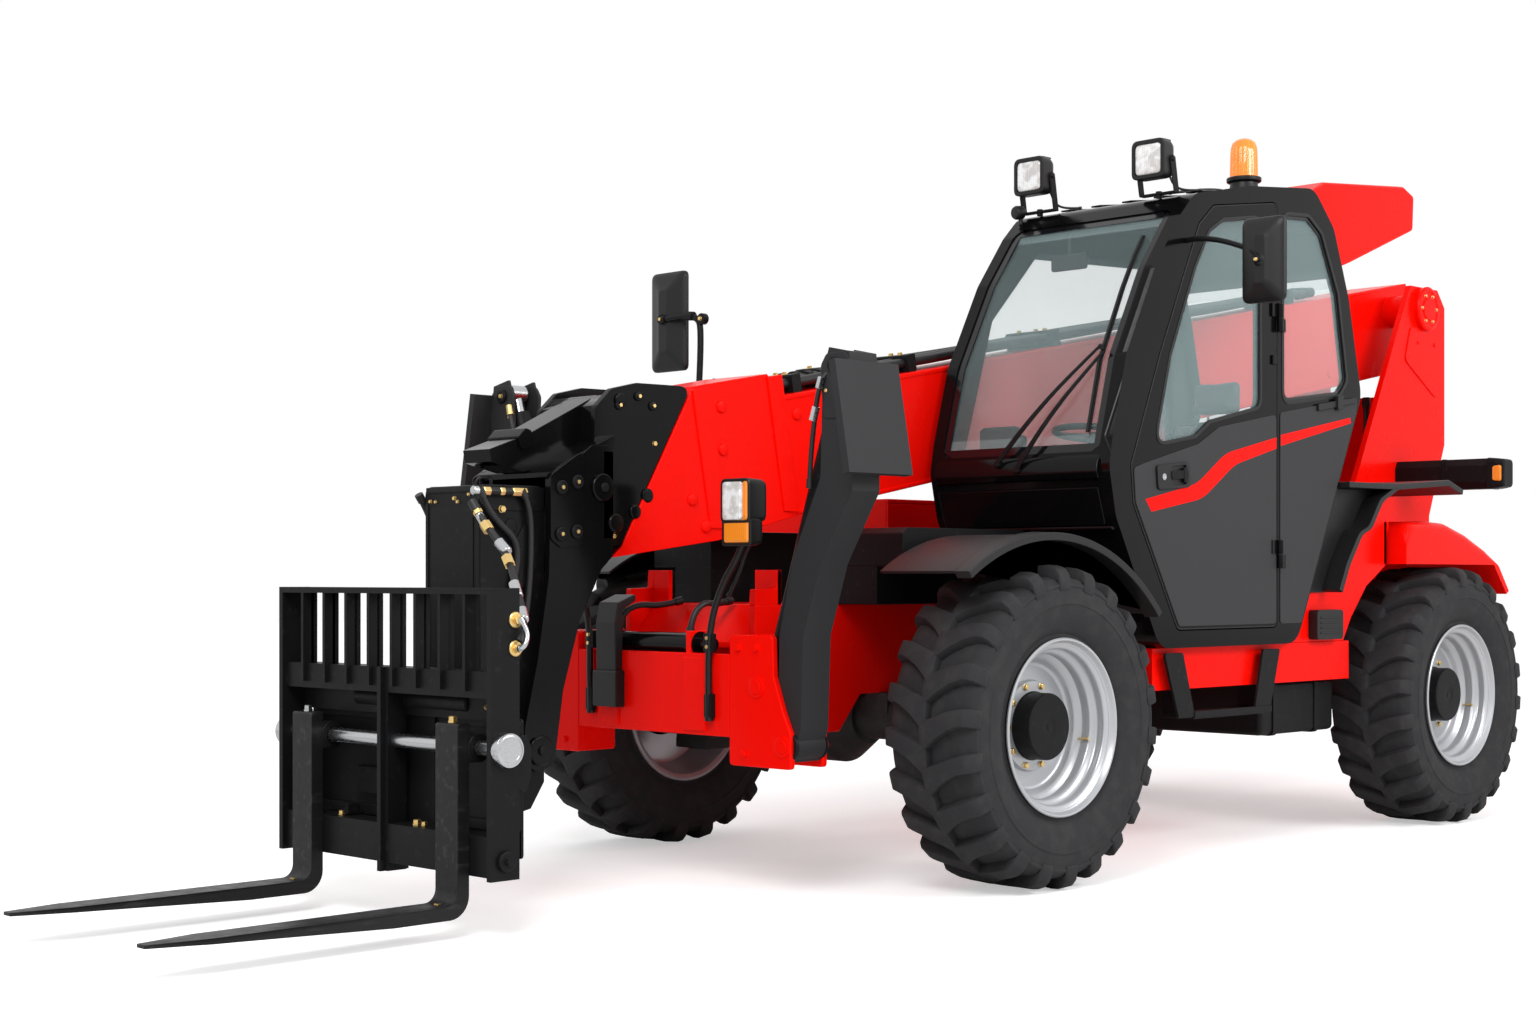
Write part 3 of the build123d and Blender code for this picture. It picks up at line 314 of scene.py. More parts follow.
def add_turned(bm, profile, start, direction, sides=32):
    """Turn (radius, along) points about the line from start; ends on the line are closed."""
    origin = spot(*start)
    direction = Vector(direction).normalized()
    u, v = across(direction)
    rings = []
    for radius, along in profile:
        centre = origin + direction * along * MM
        if radius < 0.01:
            rings.append([bm.verts.new(centre)])
            continue
        turn = [2 * math.pi * i / sides for i in range(sides)]
        rings.append([bm.verts.new(centre + (u * math.cos(a) + v * math.sin(a)) * radius * MM)
                      for a in turn])
    for a, b in zip(rings, rings[1:]):
        join_rings(bm, a, b, sides)
    return rings


def join_rings(bm, a, b, sides):
    for i in range(sides):
        j = (i + 1) % sides
        if len(a) == 1 and len(b) == 1:
            return
        if len(a) == 1:
            bm.faces.new((a[0], b[i], b[j]))
        elif len(b) == 1:
            bm.faces.new((a[i], a[j], b[0]))
        else:
            bm.faces.new((a[i], a[j], b[j], b[i]))


def fill_stack(bm, rings):
    """Close a stack of rings with a face at each end and walls between."""
    bm.faces.new(rings[0])
    bm.faces.new(rings[-1])
    for a, b in zip(rings, rings[1:]):
        join_rings(bm, a, b, len(a))


def plain_disc(radius, height):
    """The (radius, along) profile of a plain disc or pin."""
    return [(0, 0), (radius, 0), (radius, height), (0, height)]


def edged_disc(radius, height, top_radius, top):
    """The (radius, along) profile of a disc with its upper edge taken off."""
    return [(0, 0), (radius, 0), (radius, height), (top_radius, top), (0, top)]


def span(side, inner, outer):
    """Low and high y of what lies between two distances from the middle, on one side."""
    return sorted((side * inner, side * outer))


def add_ring(bm, profile, start, direction, sides=48):
    """Turn a closed (radius, along) outline about the line from start."""
    rings = add_turned(bm, profile, start, direction, sides)
    join_rings(bm, rings[-1], rings[0], sides)


def add_rod(bm, start, end, radius, sides=20):
    run = spot(*end) - spot(*start)
    length = run.length / MM
    add_turned(bm, plain_disc(radius, length), start, run, sides)


def mirror_in(bm):
    """Add the mirror image, on the machine's other side, of what is there."""
    made = bmesh.ops.duplicate(bm, geom=bm.verts[:] + bm.edges[:] + bm.faces[:])
    verts = [item for item in made["geom"] if isinstance(item, bmesh.types.BMVert)]
    for vert in verts:
        vert.co.y = -vert.co.y


def add_cushioned(bm, outline_at, stations, axis="x"):
    """A closed shell lofted through (depth, outline) stations, all with the same number of points."""
    fill_stack(bm, [[bm.verts.new(place_on(axis, u, v, depth)) for u, v in outline_at(*grown)]
                    for depth, *grown in stations])


def round_box(y, z, half_y, half_z, radius):
    """Outline, by half sizes, of a rectangle with round corners."""
    corners = [(y - half_y, z - half_z), (y + half_y, z - half_z), (y + half_y, z + half_z),
               (y - half_y, z + half_z)]
    return rounded(corners, radius, 6)


def inset(points, distance):
    """The outline moved in by a distance, or out where it is negative."""
    turn = sum(a[0] * b[1] - b[0] * a[1] for a, b in zip(points, points[1:] + points[:1]))
    side = 1 if turn > 0 else -1
    out = []
    for i, point in enumerate(points):
        before = (Vector(point) - Vector(points[i - 1])).normalized()
        after = (Vector(points[(i + 1) % len(points)]) - Vector(point)).normalized()
        normal = Vector((-before.y, before.x)) + Vector((-after.y, after.x))
        normal *= side * distance / max(0.2, normal.dot(Vector((-after.y, after.x))))
        out.append((point[0] + normal.x, point[1] + normal.y))
    return out


def add_frame(bm, corners, radius, width, axis, low, high, steps=6):
    """A closed frame that follows a round-cornered outline, its width measured inwards."""
    outer = rounded(corners, radius, steps)
    inner = rounded(inset(corners, width), max(radius - width, 4), steps)
    rings = [[bm.verts.new(place_on(axis, u, v, depth)) for u, v in points]
             for points, depth in ((outer, low), (inner, low), (inner, high), (outer, high))]
    for a, b in zip(rings, rings[1:] + rings[:1]):
        join_rings(bm, a, b, len(outer))


def placed(name, data):
    """A new object in the scene."""
    obj = bpy.data.objects.new(name, data)
    bpy.context.scene.collection.objects.link(obj)
    return obj


def final_mesh(obj):
    """A copy of an object's mesh with its modifiers applied."""
    bpy.context.view_layer.update()
    graph = bpy.context.evaluated_depsgraph_get()
    return bpy.data.meshes.new_from_object(obj.evaluated_get(graph))


def as_mesh(name, bm):
    """A mesh made of a bmesh, which is freed."""
    mesh = bpy.data.meshes.new(name)
    bm.to_mesh(mesh)
    bm.free()
    return mesh


def loose(name, bm):
    """A mesh object for a step of the making."""
    bmesh.ops.recalc_face_normals(bm, faces=bm.faces[:])
    return placed(name, as_mesh(name, bm))


def carve(bm, *tools):
    """Take closed shapes out of a closed shape."""
    body = loose("carved", bm)
    others = []
    for tool in tools:
        others.append(loose("tool", tool))
        modifier = body.modifiers.new("carve", "BOOLEAN")
        modifier.operation = "DIFFERENCE"
        modifier.solver = "EXACT"
        modifier.object = others[-1]
    out = bmesh.new()
    out.from_mesh(final_mesh(body))
    for obj in (body, *others):
        bpy.data.objects.remove(obj)
    return out


def slab_of(points, axis, low, high, radius=0.0, steps=5):
    """A plate as a bmesh of its own."""
    bm = bmesh.new()
    add_slab(bm, points, axis, low, high, radius, steps)
    return bm


def add_arc_band(bm, start, mid, end, thickness, y0, y1, steps=40):
    """A curved sheet over a wheel: its underside is the arc through three x, z points."""
    (ax, az), (bx, bz), (cx, cz) = start, mid, end
    d = 2 * (ax * (bz - cz) + bx * (cz - az) + cx * (az - bz))
    a2, b2, c2 = ax * ax + az * az, bx * bx + bz * bz, cx * cx + cz * cz
    ox = (a2 * (bz - cz) + b2 * (cz - az) + c2 * (az - bz)) / d
    oz = (a2 * (cx - bx) + b2 * (ax - cx) + c2 * (bx - ax)) / d
    radius = math.hypot(ax - ox, az - oz)
    first, last = math.atan2(az - oz, ax - ox), math.atan2(cz - oz, cx - ox)
    if last < first:
        last += 2 * math.pi
    turns = [first + (last - first) * i / steps for i in range(steps + 1)]
    under = [(ox + radius * math.cos(t), oz + radius * math.sin(t)) for t in turns]
    over = [(ox + (radius + thickness) * math.cos(t), oz + (radius + thickness) * math.sin(t))
            for t in turns]
    add_slab(bm, under + over[::-1], "y", y0, y1)


def round_edges(bm, width, segments, angle=30.0):
    sharp = [e for e in bm.edges if len(e.link_faces) == 2
             and e.calc_face_angle(0.0) > math.radians(angle)]
    if sharp and width:
        bmesh.ops.bevel(bm, geom=sharp, offset=width * MM, segments=segments, profile=0.5,
                        affect="EDGES", clamp_overlap=True)


def settle(obj, finish, body, replaces=()):
    """Give a finished mesh object its material, its body and what it stands for."""
    if obj.name not in bpy.context.scene.collection.objects:
        bpy.context.scene.collection.objects.link(obj)
    if finish not in obj.data.materials[:]:
        obj.data.materials.clear()
        obj.data.materials.append(finish)
    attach(obj, body)
    if replaces:
        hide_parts(*replaces)


def shade(mesh, angle=38.0):
    mesh.shade_smooth()
    mesh.set_sharp_from_angle(angle=math.radians(angle))


def present(name, bm, finish, body, replaces):
    """Shade and settle a piece; its flat faces stay flat beside rounded edges."""
    mesh = as_mesh(name, bm)
    shade(mesh)
    obj = bpy.data.objects.new(name, mesh)
    settle(obj, finish, body, replaces)
    weigh = obj.modifiers.new("flat_faces_stay_flat", "WEIGHTED_NORMAL")
    weigh.keep_sharp = True


def make(name, shapes, finish, edge=0.0, segments=2, body="machine", replaces=(), mirror=False):
    """Turn a bmesh, or a list of (function, arguments...) that fill one, into a finished piece."""
    bm = shapes
    if isinstance(shapes, list):
        bm = bmesh.new()
        for add, *given in shapes:
            add(bm, *given)
    if mirror:
        mirror_in(bm)
    bmesh.ops.recalc_face_normals(bm, faces=bm.faces[:])
    round_edges(bm, edge, segments)
    present(name, bm, finish, body, replaces)


WELD = 0.02 * MM          # CAD corners nearer than this are one
FLAT = math.radians(0.6)  # faces that meet at less than this are one
CAD_CREASE = 28.0         # degrees from which a CAD edge gets rounded


def soften(node, finish, edge):
    """A copy of a CAD piece with its edges rounded, which stands for it."""
    bm = bmesh.new()
    bm.from_mesh(frame["nodes"][node].data)
    bmesh.ops.remove_doubles(bm, verts=bm.verts[:], dist=WELD)
    bmesh.ops.dissolve_limit(bm, angle_limit=FLAT, verts=bm.verts[:], edges=bm.edges[:])
    round_edges(bm, edge, 2, CAD_CREASE)
    present(node + "_finished", bm, finish, BODY_OF[node], [node])


# --------------------------------------------------------------- geometry trees
class Tree:
    """A Geometry Nodes tree built from Python, with its named inputs."""

    def __init__(self, name, **inputs):
        self.tree = bpy.data.node_groups.new(name, "GeometryNodeTree")
        self.tree.interface.new_socket("Geometry", in_out="INPUT", socket_type="NodeSocketGeometry")
        self.sockets = {}
        for label, kind in {**inputs, "Finish": "Material"}.items():
            made = self.tree.interface.new_socket(label, in_out="INPUT",
                                                  socket_type="NodeSocket" + kind)
            self.sockets[label] = made.identifier
        self.tree.interface.new_socket("Geometry", in_out="OUTPUT", socket_type="NodeSocketGeometry")
        self.start = self.tree.nodes.new("NodeGroupInput")

    def given(self, label="Geometry"):
        return self.start.outputs[label]

    def node(self, kind, values=None, output=0, **settings):
        made = self.tree.nodes.new(kind)
        for name, setting in settings.items():
            setattr(made, name, setting)
        for key, value in (values or {}).items():
            if isinstance(value, bpy.types.NodeSocket):
                self.tree.links.new(value, made.inputs[key])
            else:
                made.inputs[key].default_value = value
        return made.outputs[output]

    def end(self, geometry):
        solid = self.node("GeometryNodeRealizeInstances", {0: geometry})
        painted = self.node("GeometryNodeSetMaterial", {"Geometry": solid,
                                                        "Material": self.given("Finish")})
        last = self.tree.nodes.new("NodeGroupOutput")
        self.tree.links.new(painted, last.inputs[0])

    def run(self, name, source, **values):
        """Evaluate the tree on a mesh or curve and return a plain mesh object."""
        holder = placed(name + "_source", source)
        modifier = holder.modifiers.new(name, "NODES")
        modifier.node_group = self.tree
        for label, value in values.items():
            modifier[self.sockets[label]] = value
        mesh = final_mesh(holder)
        mesh.name = name
        holder.modifiers.remove(modifier)
        bpy.data.objects.remove(holder)
        return bpy.data.objects.new(name, mesh)


def wheel_tree():
    """Copies of a piece set round a line along y, then moved to their wheel."""
    t = Tree("round_the_axle", Count="Int", Pitch="Float", Centre="Vector")
    points = t.node("GeometryNodePoints", {"Count": t.given("Count")})
    index = t.node("GeometryNodeInputIndex")
    angle = t.node("ShaderNodeMath", {0: index, 1: t.given("Pitch")}, operation="MULTIPLY")
    turn = t.node("ShaderNodeCombineXYZ", {"Y": angle})
    copies = t.node("GeometryNodeInstanceOnPoints",
                    {"Points": points, "Instance": t.given(), "Rotation": turn})
    solid = t.node("GeometryNodeRealizeInstances", {0: copies})
    t.end(t.node("GeometryNodeTransform", {"Geometry": solid, "Translation": t.given("Centre")}))
    return t


def fastener_tree():
    """A head on each point, faced along the point's own direction and sized by its own scale."""
    t = Tree("heads_on_places", Head="Object")
    head = t.node("GeometryNodeObjectInfo", {"Object": t.given("Head")}, output="Geometry")
    facing = t.node("GeometryNodeInputNamedAttribute", {"Name": "facing"}, data_type="FLOAT_VECTOR")
    size = t.node("GeometryNodeInputNamedAttribute", {"Name": "size"}, data_type="FLOAT")
    turn = t.node("FunctionNodeAlignRotationToVector", {"Vector": facing}, axis="Z")
    copies = t.node("GeometryNodeInstanceOnPoints",
                    {"Points": t.given(), "Instance": head, "Rotation": turn, "Scale": size})
    t.end(copies)
    return t


def hose_tree():
    """A round hose along a curve, with a crimped collar at each end."""
    t = Tree("hose_with_collars", Radius="Float", Collar="Float")
    ring = t.node("GeometryNodeCurvePrimitiveCircle", {"Resolution": 12, "Radius": t.given("Radius")},
                  mode="RADIUS")
    hose = t.node("GeometryNodeCurveToMesh", {"Curve": t.given(), "Profile Curve": ring,
                                              "Fill Caps": True})
    ends = t.node("GeometryNodeCurveEndpointSelection", {})
    wide = t.node("ShaderNodeMath", {0: t.given("Radius"), 1: 1.3}, operation="MULTIPLY")
    collar = t.node("GeometryNodeMeshCylinder",
                    {"Vertices": 12, "Radius": wide, "Depth": t.given("Collar")})
    along = t.node("GeometryNodeInputTangent")
    turn = t.node("FunctionNodeAlignRotationToVector", {"Vector": along}, axis="Z")
    collars = t.node("GeometryNodeInstanceOnPoints",
                     {"Points": t.given(), "Selection": ends, "Instance": collar, "Rotation": turn})
    join = t.tree.nodes.new("GeometryNodeJoinGeometry")
    t.tree.links.new(hose, join.inputs[0])
    t.tree.links.new(t.node("GeometryNodeRealizeInstances", {0: collars}), join.inputs[0])
    t.end(join.outputs[0])
    return t


def row_tree():
    """Copies of a piece in an even row or grid."""
    t = Tree("in_rows", Count="Int", Step="Vector", Rows="Int", RowStep="Vector")
    line = t.node("GeometryNodeMeshLine", {"Count": t.given("Count"), "Offset": t.given("Step")})
    across_line = t.node("GeometryNodeMeshLine", {"Count": t.given("Rows"),
                                                  "Offset": t.given("RowStep")})
    one = t.node("GeometryNodeInstanceOnPoints", {"Points": line, "Instance": t.given()})
    solid = t.node("GeometryNodeRealizeInstances", {0: one})
    grid = t.node("GeometryNodeInstanceOnPoints", {"Points": across_line, "Instance": solid})
    t.end(grid)
    return t


ROWS = row_tree()
AROUND = wheel_tree()
HEADS = fastener_tree()
HOSES = hose_tree()


def head_shape(name, profile, sides):
    """A fastener's head, 1 mm across for each unit of size, standing along z from the origin."""
    bm = bmesh.new()
    rings = []
    for radius, height in profile:
        if radius == 0:
            rings.append([bm.verts.new((0, 0, height * MM))])
        else:
            rings.append([bm.verts.new((radius * MM * math.cos(2 * math.pi * i / sides),
                                        radius * MM * math.sin(2 * math.pi * i / sides), height * MM))
                          for i in range(sides)])
    for a, b in zip(rings, rings[1:]):
        join_rings(bm, a, b, sides)
    bmesh.ops.recalc_face_normals(bm, faces=bm.faces[:])
    return placed(name, as_mesh(name, bm))


HEX = head_shape("hex_head", [(0, -0.2), (0.5, -0.2), (0.5, 0.02), (0.44, 0.06), (0.43, 0.38),
                              (0.36, 0.43), (0, 0.43)], 6)
DISC = head_shape("pin_head", [(0, -0.2), (0.5, -0.2), (0.5, 0.10), (0.46, 0.14), (0.2, 0.14),
                               (0.17, 0.09), (0, 0.09)], 20)
BALL = head_shape("button_head", [(0, -0.2), (0.5, -0.2), (0.5, 0), (0.42, 0.17), (0.24, 0.28),
                                  (0, 0.31)], 16)


def fasten(name, head, places, finish, body="machine"):
    """Heads on a list of ((x, y, z), direction, size) places, as one piece."""
    mesh = bpy.data.meshes.new(name)
    mesh.from_pydata([spot(*at) for at, _, _ in places], [], [])
    mesh.attributes.new("facing", "FLOAT_VECTOR", "POINT")
    mesh.attributes.new("size", "FLOAT", "POINT")
    for i, (_, direction, across_mm) in enumerate(places):
        mesh.attributes["facing"].data[i].vector = direction
        mesh.attributes["size"].data[i].value = across_mm
    obj = HEADS.run(name, mesh, Head=head, Finish=finish)
    shade(obj.data)
    settle(obj, finish, body)


def repeat(name, bm, count, step, finish, body="machine", rows=1, row_step=(0, 0, 0)):
    """A piece repeated in a row or grid; steps in millimetres."""
    bmesh.ops.recalc_face_normals(bm, faces=bm.faces[:])
    obj = ROWS.run(name, as_mesh(name, bm), Count=count, Step=Vector(step) * MM, Rows=rows,
                   RowStep=Vector(row_step) * MM, Finish=finish)
    shade(obj.data)
    settle(obj, finish, body)


def lay_hoses(name, routes, finish, body="machine", replaces=()):
    """Hoses along ((x, y, z) ..., radius, collar) routes on one body, as one piece."""
    group = bmesh.new()
    for points, radius, collar in routes:
        curve = bpy.data.curves.new(name, "CURVE")
        curve.dimensions = "3D"
        spline = curve.splines.new("NURBS")
        spline.points.add(len(points) - 1)
        for point, at in zip(spline.points, points):
            point.co = (*spot(*at), 1.0)
        spline.order_u = 3
        spline.use_endpoint_u = True
        spline.resolution_u = 8
        run = HOSES.run(name, curve, Radius=radius * MM, Collar=collar * MM, Finish=finish)
        group.from_mesh(run.data)
        bpy.data.objects.remove(run)
    mesh = as_mesh(name, group)
    shade(mesh, 50)
    settle(bpy.data.objects.new(name, mesh), finish, body, replaces)


# ----------------------------------------------------------------------- wheels
LUGS = 22
LUG_TOP = [  # across the tyre, mm along the tread to the lug's leading and trailing edge, face radius
    (-15, -38, 88, 598), (10, -44, 62, 600), (60, -60, 20, 600), (110, -79, -10, 600),
    (150, -88, -26, 597),
    (178, -93, -29, 588), (196, -94, -27, 566), (205, -92, -25, 530)]
LUG_FOOT_RADIUS = 545
LUG_DEPTH = 26            # at least, over the shoulder
LUG_ROUND = 5.0
LUG_FLARE = 7             # how much wider a lug is at its foot, on each side
TYRE_RADIUS = 600.0
LUG_TURN = 171.57         # brings a lug's corner to the ground
TYRE_SIDE = [  # radius, across the tyre
    (305.5, 150), (318, 158), (330, 163), (345, 160), (362, 172), (392, 188), (425, 197), (452, 201),
    (455, 204), (462, 204), (466, 201), (500, 199), (516, 196), (520, 199), (528, 198), (532, 193),
    (546, 180), (556, 150), (561, 100), (563, 40)]
NUTS = 10
NUT_CIRCLE = 152


def tyre_lugs(tag, side):
    """Both rows of lugs; the V they make points down at the front of the wheel."""
    bm = bmesh.new()
    for row, shift in ((1, 0.0), (-1, 0.5)):
        rings = []
        for across_mm, lead, trail, radius in LUG_TOP:
            foot = min(LUG_FOOT_RADIUS, radius - LUG_DEPTH)
            ring = []
            for along, reach in ((lead - LUG_FLARE, foot), (lead, radius), (trail, radius),
                                 (trail + LUG_FLARE, foot)):
                a = math.radians(LUG_TURN + shift * 360.0 / LUGS) + along / TYRE_RADIUS
                width = across_mm if reach == radius else across_mm - (5 if radius < 570 else 0)
                ring.append(bm.verts.new((reach * MM * math.sin(a), row * side * width * MM,
                                          reach * MM * math.cos(a))))
            rings.append(ring)
        fill_stack(bm, rings)
    bmesh.ops.recalc_face_normals(bm, faces=bm.faces[:])
    round_edges(bm, LUG_ROUND, 2, 25.0)
    return AROUND.run("lugs_" + tag, as_mesh("lug_pair", bm), Count=LUGS, Finish=RUBBER,
                      Pitch=math.radians(360.0 / LUGS), Centre=spot(*wheel_place(tag)))


def tyre_carcass(tag):
    x, y, z = wheel_place(tag)
    profile = TYRE_SIDE + [(radius, -across_mm) for radius, across_mm in reversed(TYRE_SIDE)]
    bm = bmesh.new()
    add_ring(bm, profile, (x, y, z), (0, 1, 0), 96)
    bmesh.ops.recalc_face_normals(bm, faces=bm.faces[:])
    return bm


def make_tyre(tag, side):
    bm = tyre_carcass(tag)
    lugs = tyre_lugs(tag, side)
    bm.from_mesh(lugs.data)
    bpy.data.objects.remove(lugs)
    mesh = as_mesh("lugged_tyre_" + tag, bm)
    shade(mesh, 32)
    obj = bpy.data.objects.new(mesh.name, mesh)
    settle(obj, RUBBER, "wheel_" + tag, ["tyre_" + tag])


def make_rim(tag, side):
    """A deep-dished drop-centre rim: three rounded steps down to a flat disc."""
    x, y, z = wheel_place(tag)
    outside = [(330, 170), (331, 176), (327, 180), (321, 179), (316, 172), (311, 160), (302, 154),
               (293, 150), (289, 143), (290, 134), (294, 126), (294, 116), (290, 108), (281, 103),
               (273, 99), (269, 91), (270, 80), (274, 70), (272, 58), (262, 50), (252, 44), (246, 34),
               (240, 22), (233, 16), (222, 14.5)]
    disc = [(172, 14.5), (170, 20), (166, 34), (150, 35.5), (126, 35.5)]
    back = [(126, -4), (240, -4), (262, -12), (294, -150), (303, -168), (318, -174), (330, -170),
            (330, -163), (306, -158), (305.2, -150), (305.2, 150), (306, 158)]
    make("stepped_rim_" + tag, [
        (add_ring, outside + disc + back, (x, y, z), (0, side, 0), 96)], SILVER, body="wheel_" + tag,
         replaces=["rim_" + tag])
    make("hub_cap_" + tag, [
        (add_turned, [(0, -4), (140, -4), (140, 30), (128, 36), (124.5, 42), (124.5, 104), (121, 110),
                      (114, 112), (40, 112), (36, 110), (14, 110), (12, 112), (0, 112)], (x, y, z),
         (0, side, 0), 64)], SATIN, body="wheel_" + tag)
    places = []
    for i in range(NUTS):
        a = 2 * math.pi * (i + 0.5) / NUTS
        at = (x + NUT_CIRCLE * math.sin(a), y + side * 35, z + NUT_CIRCLE * math.cos(a))
        places.append((at, (0, side, 0), 27))
    fasten("wheel_nuts_" + tag, HEX, places, GOLD, "wheel_" + tag)
    make("valve_" + tag, [
        (add_rod, (x - 255, y + side * 60, z - 60), (x - 248, y + side * 105, z - 58), 5, 10)], GOLD,
         body="wheel_" + tag)


for corner, which in CORNERS:
    make_tyre(corner, which)
    make_rim(corner, which)


# -------------------------------------------------------------------------- cab
CAB_SIDE = [  # x, z around the cab's side, from the front of its floor
    (-740, 870), (-445, 1390), (-402, 1580), (-425, 1700), (-513, 2017), (-710, 2380), (-880, 2600),
    (-985, 2700), (-1384, 2780), (-1900, 2835), (-2066, 2680), (-2194, 2377), (-2300, 1958),
    (-1760, 870)]
CAB_RIGHT, CAB_LEFT = 200, 1100        # y of the outer side of both its walls
DOOR_SIDE = [(-1600, 944), (-862, 944), (-560, 1440), (-545, 1590), (-740, 2033), (-925, 2401),
             (-1015, 2580), (-1120, 2665), (-1600, 2735)]
DOOR_WINDOW = [(-700, 1669), (-989, 1717), (-1094, 1782), (-1475, 1862), (-1475, 2665), (-1190, 2620),
               (-1086, 2562), (-986, 2408), (-810, 2040)]
REAR_WINDOW = [(-1640, 1885), (-2110, 1945), (-2180, 2016), (-2103, 2397), (-1965, 2650), (-1855, 2715),
               (-1640, 2700)]
RIGHT_WINDOW = [(-560, 1620), (-2120, 1620), (-2080, 2300), (-1960, 2600), (-1080, 2560), (-760, 2240)]
SCREEN = (650, 2137, 395, 497)         # middle and half sizes of the windscreen's opening
BACK_WINDOW = (650, 2175, 395, 325)
CAB_SMOOTH = 120                       # rounds the side outline's corners
CAB_ROUND = 55                         # rounds the edges of both sides
DOOR_HINGES = (-1603, 1114, (1250, 2250))
WALL = 40


def cab_outline(inwards=0.0):
    return rounded(inset(CAB_SIDE, inwards), CAB_SMOOTH - inwards, 6)


def cab_block():
    bm = bmesh.new()
    add_slab(bm, cab_outline(), "y", CAB_RIGHT, CAB_LEFT)
    floor = spot(0, 0, 871).z
    ends = [e for e in bm.edges if abs(e.verts[0].co.y - e.verts[1].co.y) < MM
            and max(v.co.z for v in e.verts) > floor]
    bmesh.ops.bevel(bm, geom=ends, offset=CAB_ROUND * MM, segments=7, profile=0.5, affect="EDGES",
                    clamp_overlap=True)
    return bm


def add_hinges(bm, side):
    x, y, levels = DOOR_HINGES
    for z in levels:
        low, high = (z + 0.5, z + 60) if side > 0 else (z - 60, z - 0.5)
        add_turned(bm, [(0, low), (12, low), (14, low + 3), (14, high - 3), (12, high), (0, high)],
                   (x, y, 0), (0, 0, 1), 20)
        add_block(bm, min(x, x + side * 52), max(x, x + side * 52), 1099, 1109, low + 2, high - 2)


def make_cab():
    shell = cab_block()
    tools = [slab_of(inset(CAB_SIDE, WALL), "y", CAB_RIGHT + WALL, CAB_LEFT - WALL, CAB_SMOOTH - WALL,
                     6)]
    for x0, x1, window in ((-1060, -300, SCREEN), (-2500, -2060, BACK_WINDOW)):
        tools.append(bmesh.new())
        add_slab(tools[-1], round_box(*window, 45), "x", x0, x1)
    tools.append(slab_of(RIGHT_WINDOW, "y", 150, CAB_RIGHT + WALL + 2, 45))
    tools.append(slab_of(REAR_WINDOW, "y", CAB_LEFT - WALL - 2, 1150, 60))
    tools.append(slab_of(inset(DOOR_SIDE, -6), "y", CAB_LEFT - WALL - 2, 1150, 40))
    shell = carve(shell, *tools)
    add_hinges(shell, -1)
    make("cab_frame", shell, BLACK, replaces=["cab_shell"])


def side_at(inwards, z, front):
    """x of the cab's outline at a height, on its front or its rear."""
    points = cab_outline(inwards)
    found = []
    for (x0, z0), (x1, z1) in zip(points, points[1:] + points[:1]):
        if min(z0, z1) <= z <= max(z0, z1) and abs(z1 - z0) > 1e-6:
            found.append(x0 + (x1 - x0) * (z - z0) / (z1 - z0))
    return max(found) if front else min(found)


def add_curved_pane(bm, inwards, thickness, y, z, half_y, half_z, radius, front, rows=26):
    """A pane that follows the cab's front or rear outline."""
    rings = []
    for depth in (inwards, inwards + thickness):
        corners = round_box(y, z, half_y, half_z, radius)
        rings.append([bm.verts.new(spot(side_at(depth, v, front), u, v)) for u, v in corners])
    fill_stack(bm, rings)
    for i in range(1, rows):
        level = spot(0, 0, z - half_z + 2 * half_z * i / rows).z
        bmesh.ops.bisect_plane(bm, geom=bm.verts[:] + bm.edges[:] + bm.faces[:], plane_co=(0, 0, level),
                               plane_no=(0, 0, 1))
    for vert in bm.verts:
        z_mm = vert.co.z / MM
        near = side_at(inwards, z_mm, front)
        far = side_at(inwards + thickness, z_mm, front)
        x_mm = (vert.co.x - FRONT_AXLE.x) / MM
        vert.co.x = FRONT_AXLE.x + MM * (near if abs(x_mm - near) < abs(x_mm - far) else far)


def add_pane_border(bm, inwards, thickness, y, z, half_y, half_z, radius, width, front, rows=30):
    """A band that follows the edge of a curved pane."""
    levels = [z - half_z + 2 * half_z * i / rows for i in range(rows + 1)]
    stack = []
    for v in levels:
        near, far = side_at(inwards, v, front), side_at(inwards + thickness, v, front)
        edge = min(v - (z - half_z), (z + half_z) - v)
        reach = radius - min(radius, edge)
        pull = radius - math.sqrt(max(0.0, radius ** 2 - reach ** 2))
        stack.append((v, near, far, pull))
    for side in (-1, 1):
        rings = []
        for v, near, far, pull in stack:
            outer = y + side * (half_y - pull)
            inner = y + side * (half_y - width)
            rings.append([bm.verts.new(spot(x, u, v)) for x, u in ((near, outer), (near, inner),
                    (far, inner), (far, outer))])
        fill_stack(bm, rings)
    for low, high in ((z - half_z, z - half_z + width), (z + half_z - width, z + half_z)):
        rings = []
        for i in range(5):
            v = low + (high - low) * i / 4
            near, far = side_at(inwards, v, front), side_at(inwards + thickness, v, front)
            rings.append([bm.verts.new(spot(x, u, v)) for x, u in ((near, y - half_y + width),
                    (near, y + half_y - width), (far, y + half_y - width), (far, y - half_y + width))])
        fill_stack(bm, rings)


